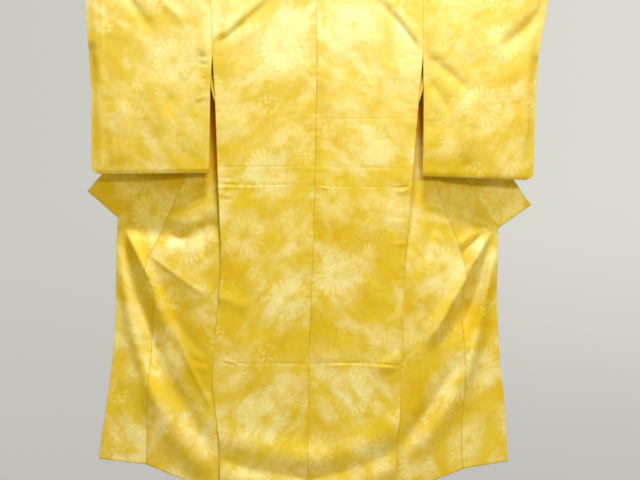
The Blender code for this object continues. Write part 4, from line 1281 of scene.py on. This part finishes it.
def leaf_group():
    """A pointed leaf with a middle vein."""
    tree, graph, given, made = group("leaf", LEAF_INPUTS, ("Leaf", "Line"))
    u, v, centre_u, centre_v, length, width, turn = given
    across, along = local_place(graph, u, v, centre_u, centre_v)
    sine, cosine = graph.math("SINE", turn), graph.math("COSINE", turn)
    lengthwise = graph.plus(graph.times(across, cosine), graph.times(along, sine))
    sideways = graph.minus(graph.times(along, cosine), graph.times(across, sine))
    tip = graph.over(lengthwise, graph.times(length, 0.5))
    edge = graph.over(graph.size(sideways), width)
    inside = graph.minus(1.0, graph.plus(graph.times(tip, tip), edge))
    graph.give(made, {
        "Leaf": graph.smooth(inside, 0.0, 0.40),
        "Line": graph.times(graph.smooth(edge, 0.10, 0.04), graph.smooth(inside, 0.0, 0.1)),
    })
    return tree


def spray_mask(graph, u, v):
    """Where the clusters of tiny blossoms are."""
    masks = []
    for spray in SPRAYS:
        away = graph.hypotenuse(*local_place(graph, u, v, spray.u, spray.v))
        masks.append(graph.smooth(away, spray.radius, spray.radius * 0.7))
    return graph.most(*masks)


def tiny_blossoms(graph, place, mask):
    """Five-petalled blossoms about 1 cm across, one in each cell of an uneven net."""
    cells = graph.add("TexVoronoi", {"Vector": place, "Scale": 84.0, "Randomness": 0.60},
                      voronoi_dimensions="2D")
    middle = cells.outputs["Position"]
    offset = graph.add("VectorMath", {0: place, 1: middle}, operation="SUBTRACT").outputs[0]
    across, along, _ = graph.split(offset)
    angle = graph.math("ARCTAN2", along, across)
    lobes = graph.size(graph.math("COSINE", graph.times(angle, BLOSSOM_PETALS / 2)))
    away = graph.add("VectorMath", {0: offset}, operation="LENGTH").outputs["Value"]
    reach = graph.times(graph.plus(graph.times(lobes, 0.40), 0.60), BLOSSOM_RADIUS)
    petals = graph.smooth(graph.over(away, reach), 1.0, 0.75)
    return graph.times(petals, mask), graph.times(graph.smooth(away, 0.0016, 0.0008), mask)


def draw_motifs(graph, u, v, place):
    """The pattern's petals, their lines, eyes and the pale haze round them, worn away here and there."""
    petals, lines, eyes, haze = 0.0, 0.0, 0.0, 0.0
    flower, leaf = flower_group(), leaf_group()
    for mum in MUMS:
        inputs = dict(zip(FLOWER_INPUTS, (u, v) + mum[:5]))
        drawn = graph.add("Group", inputs, node_tree=flower).outputs
        petals = graph.most(petals, graph.times(drawn["Petal"], mum.strength))
        lines = graph.most(lines, graph.times(drawn["Line"], mum.strength))
        eyes = graph.most(eyes, drawn["Eye"])
        haze = graph.most(haze, graph.times(drawn["Haze"], mum.strength))
    for row in LEAVES:
        drawn = graph.add("Group", dict(zip(LEAF_INPUTS, (u, v) + row)), node_tree=leaf).outputs
        petals = graph.most(petals, graph.times(drawn["Leaf"], 0.34))
        lines = graph.most(lines, graph.times(drawn["Line"], 0.5))
    uneven = graph.smooth(graph.noise(place, UNEVEN_SPRAYS), 0.40, 0.52)
    tiny, tiny_eyes = tiny_blossoms(graph, place, graph.times(spray_mask(graph, u, v), uneven))
    worn = graph.smooth(graph.noise(place, WORN_PLACES), 0.38, 0.58, 0.25, 1.0)
    petals = graph.most(graph.times(petals, worn), graph.times(tiny, 0.62))
    return petals, graph.times(lines, worn), graph.most(eyes, tiny_eyes), haze


def slit_shade_mask(graph, x, y, z, v):
    """Painted shade on the far layers in the slits by the sleeves, and how near the slit's top a place is."""
    beyond = graph.size(x)
    not_collar = graph.math("LESS_THAN", v, PATTERN_START["collar"] - 2 * REPEAT)
    mask = graph.times(
        graph.smooth(beyond, 0.345, 0.325), graph.smooth(beyond, 0.235, 0.255),
        graph.smooth(y, 0.0145, 0.0175),
        graph.smooth(z, -0.60, -0.52), graph.smooth(z, -0.22, -0.26), not_collar)
    inmost = graph.smooth(z, -0.47, -0.42)
    darker = graph.most(graph.math("LESS_THAN", x, 0.0), inmost)
    return graph.times(mask, graph.smooth(darker, 0.0, 1.0, 0.50, 0.90)), inmost


def silk_colour(graph, place, clouds, motifs):
    """Clouded ground and flowers, painted highlight on the upper back, painted shade in slits and seams."""
    broad, middle, streaks = clouds
    petals, lines, eyes, haze = motifs
    from_seam = graph.split(graph.uv("seams"))[0]
    _, v, _ = graph.split(place)
    x, y, z = graph.split(graph.coordinates("Object"))
    both = graph.plus(graph.times(broad, 0.6), graph.times(middle, 0.4))
    patches = graph.smooth(graph.noise(streaks, PATCHES), 0.52, 0.78)
    flecks = graph.smooth(graph.noise(streaks, FLECKS), 0.40, 0.60)
    leafy = graph.smooth(graph.noise(place, LEAFY_EDGES), 0.44, 0.56)
    fine = graph.smooth(graph.noise(place, FINE_MOTTLE), 0.35, 0.75, 0.0, 0.16)
    grain = graph.smooth(graph.noise(place, GRAIN), 0.40, 0.70, 0.0, 0.16)
    # Painted highlight: paler, whiter silk high on the viewer's side of back and sleeves, most on the left
    painted_top_light = graph.times(
        graph.smooth(z, -0.62, -0.08), graph.smooth(graph.size(x), 0.34, 0.24, 0.45, 1.0),
        graph.smooth(x, -0.34, -0.24, 1.5, 1.0), graph.smooth(y, 0.008, -0.004))
    haze = graph.times(haze, graph.smooth(both, 0.34, 0.50, 0.35, 1.0))
    pale = graph.most(graph.times(graph.smooth(both, 0.40, 0.62), 0.30), haze)
    pale = graph.times(pale, graph.smooth(leafy, 0.0, 1.0, 0.30, 1.0))
    cloud = graph.most(graph.smooth(both, 0.45, 0.58), graph.times(haze, 0.90))
    white = graph.most(graph.times(patches, 0.82), graph.times(flecks, haze), graph.times(cloud, painted_top_light))
    white = graph.times(white, graph.smooth(leafy, 0.0, 1.0, 0.72, 1.0))
    # Painted shade: orange-brown in the slits beside the sleeves, red-brown near their top, deeper on the
    # left
    slit, inmost = slit_shade_mask(graph, x, y, z, v)
    # Painted shade: a dark line within 1.5 mm of each seam
    seam = graph.times(graph.smooth(from_seam, 0.0015, 0.0003), 0.60)
    colour = graph.blend(graph.smooth(broad, 0.35, 0.65), DEEP_GOLD, GOLD)
    for share, over in (
            (pale, PALE_GOLD), (graph.times(painted_top_light, 0.46), TOP_LIGHT_GOLD),
            (white, graph.blend(painted_top_light, BLEACHED, TOP_LIGHT_WHITE)),
            (fine, DARK_FLECK), (grain, LIGHT_FLECK),
            (graph.times(petals, 0.80), graph.blend(painted_top_light, PETAL, TOP_LIGHT_PETAL)),
            (graph.times(lines, 0.34), PETAL_LINE), (graph.times(eyes, 0.40), FLOWER_EYE),
            (slit, graph.blend(inmost, PAINTED_SLIT_SHADE, PAINTED_SLIT_TOP_SHADE)), (seam, SEAM_SHADE)):
        colour = graph.blend(share, colour, over)
    return colour


def silk_relief(graph, place):
    """The normal of a crepe weave, softly crumpled."""
    crepe = graph.noise(graph.mapped(place, Scale=(1.0, 0.45, 1.0)), CREPE)
    warp, weft = (
        graph.add("TexWave", {"Vector": place, "Scale": threads, "Distortion": 0.6},
                  bands_direction=direction).outputs["Fac"]
        for threads, direction in ((420.0, "X"), (380.0, "Y")))
    height = graph.plus(graph.times(crepe, 0.8), graph.times(graph.plus(warp, weft), 0.35))
    weave = graph.bump(0.35, 0.00012, height)
    return graph.bump(0.30, 0.0010, graph.noise(place, CRUMPLE), Normal=weave)


def silk_material():
    """Yellow silk with a clouded ground and tone-on-tone flowers, which fade in and out of the clouds."""
    material, graph, shader = new_material("silk")
    place = graph.uv("cloth")
    u, v, _ = graph.split(place)
    streaks = graph.mapped(graph.mapped(place, Rotation=(0.0, 0.0, 0.8)), Scale=(1.0, 1.8, 1.0))
    broad, middle = graph.noise(streaks, BROAD_CLOUDS), graph.noise(streaks, MIDDLE_CLOUDS)
    motifs = draw_motifs(graph, u, v, place)
    gloss = graph.times(motifs[0], -0.05)
    graph.give(shader, {
        "Base Color": silk_colour(graph, place, (broad, middle, streaks), motifs),
        "Roughness": graph.plus(graph.smooth(middle, 0.3, 0.7, 0.40, 0.50), gloss),
        "Normal": silk_relief(graph, place),
        "Sheen Weight": 0.06,
        "Sheen Roughness": 0.35,
        "Sheen Tint": (1.0, 0.82, 0.25, 1.0),
        "Specular IOR Level": 0.55,
        "Specular Tint": (1.0, 0.88, 0.42, 1.0),
    })
    return material


def lining_material():
    """Plain thin lining silk, a deeper yellow."""
    material, graph, shader = new_material("lining")
    place = graph.uv("cloth")
    cloud = graph.smooth(graph.noise(place, LINING_CLOUDS), 0.3, 0.7)
    slub = graph.noise(graph.mapped(place, Scale=(1.0, 0.2, 1.0)), SLUB)
    graph.give(shader, {
        "Base Color": graph.blend(cloud, LINING_GOLD, LINING_YELLOW),
        "Roughness": graph.smooth(slub, 0.2, 0.8, 0.46, 0.60),
        "Normal": graph.bump(0.3, 0.0001, slub),
        "Sheen Weight": 0.10,
        "Sheen Tint": (1.0, 0.80, 0.30, 1.0),
    })
    return material


def wood_material():
    """Plain pale wood with grain along the rod."""
    material, graph, shader = new_material("rod_wood")
    drawn = graph.mapped(graph.coordinates("Object"), Scale=(1.5, 30.0, 30.0))
    grain = graph.noise(drawn, WOOD_GRAIN)
    pores = graph.smooth(graph.noise(drawn, WOOD_PORES), 0.60, 0.72, 0.0, 0.5)
    colour = graph.blend(graph.smooth(grain, 0.35, 0.65), WOOD_BROWN, WOOD_PALE)
    graph.give(shader, {
        "Base Color": graph.blend(pores, colour, WOOD_PORE),
        "Roughness": graph.smooth(grain, 0.3, 0.7, 0.38, 0.55),
        "Normal": graph.bump(0.25, 0.0004, grain),
    })
    return material


# The room: camera, lights and floor. The walls are only what the camera sees. The light that the room gives
# from all sides is golden, which deepens the silk's colour, and the floor is bluish to look pale in it
CAMERA_PLACE = (0.010, -3.0, -0.752)
CAMERA_LENS = 60.0
FLOOR_HEIGHT = -1.75
FLOOR_RADIUS = 1.0
FLOOR_COLOUR = (0.50, 0.55, 0.78, 1)
WALL_LEFT = (0.60, 0.60, 0.55, 1)
WALL_RIGHT = (0.71, 0.71, 0.65, 1)
WALL_LOW = (0.53, 0.52, 0.49, 1)
ROOM_GLOW = (0.55, 0.400, 0.018, 1)


def make_camera():
    data = bpy.data.cameras.new("camera")
    data.lens = CAMERA_LENS
    data.sensor_width = 36.0
    data.clip_start = 0.05
    camera = bpy.data.objects.new("camera", data)
    camera.location = CAMERA_PLACE
    camera.rotation_euler = (math.pi / 2, 0.0, 0.0)
    bpy.context.scene.collection.objects.link(camera)
    bpy.context.scene.camera = camera


Lamp = namedtuple("Lamp", "name place aim width height power colour")
LAMPS = (
    Lamp("ceiling", (0.22, -1.10, 3.00), (0.0, 0.0, -0.60), 0.80, 0.40, 174.0, (1.0, 1.0, 0.98)),
    Lamp("front", (1.00, -3.0, 0.60), (0.0, 0.0, -0.60), 0.8, 0.5, 42.0, (1.0, 0.88, 0.50)),
    Lamp("behind", (-0.8, 3.2, 0.80), (0.0, 0.0, -0.70), 1.2, 1.2, 45.0, (1.0, 0.98, 0.95)),
)


def make_lamps():
    for lamp in LAMPS:
        data = bpy.data.lights.new(lamp.name, "AREA")
        data.shape = "RECTANGLE"
        data.size = lamp.width
        data.size_y = lamp.height
        data.energy = lamp.power
        data.color = lamp.colour
        item = bpy.data.objects.new(lamp.name, data)
        item.location = lamp.place
        item.rotation_euler = (Vector(lamp.aim) - Vector(lamp.place)).to_track_quat("-Z", "Y").to_euler()
        bpy.context.scene.collection.objects.link(item)


def make_world():
    """Pale grey walls to look at, darker towards the floor and to the left, but golden light all round."""
    world = bpy.data.worlds.new("room")
    bpy.context.scene.world = world
    world.use_nodes = True
    graph = Graph(world.node_tree)
    x, _, z = graph.split(graph.coordinates("Generated"))
    wall = graph.blend(graph.smooth(x, -0.30, 0.30), WALL_LEFT, WALL_RIGHT)
    wall = graph.blend(graph.smooth(z, -0.25, 0.05), WALL_LOW, wall)
    seen = graph.add("LightPath").outputs["Is Camera Ray"]
    colour = graph.blend(seen, ROOM_GLOW, wall)
    graph.give(world.node_tree.nodes["Background"], {"Color": colour, "Strength": 1.0})


def make_floor():
    bpy.ops.mesh.primitive_circle_add(vertices=96, radius=FLOOR_RADIUS, fill_type="NGON",
                                      location=(0.0, 0.0, FLOOR_HEIGHT))
    floor = bpy.context.object
    floor.name = "floor"
    material, graph, shader = new_material("floor")
    graph.give(shader, {"Base Color": FLOOR_COLOUR, "Roughness": 0.7})
    floor.data.materials.append(material)


def main():
    bpy.context.scene.view_settings.view_transform = "Standard"
    make_camera()
    make_lamps()
    make_world()
    make_floor()
    silk, lining = silk_material(), lining_material()
    for side in ("left", "right"):
        make_body(side, (silk, lining))
        make_sleeve(side, (silk, lining))
        make_okumi(side, (silk, lining))
    make_collar((silk, lining))
    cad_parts["rod"].material_slots[0].material = wood_material()


main()
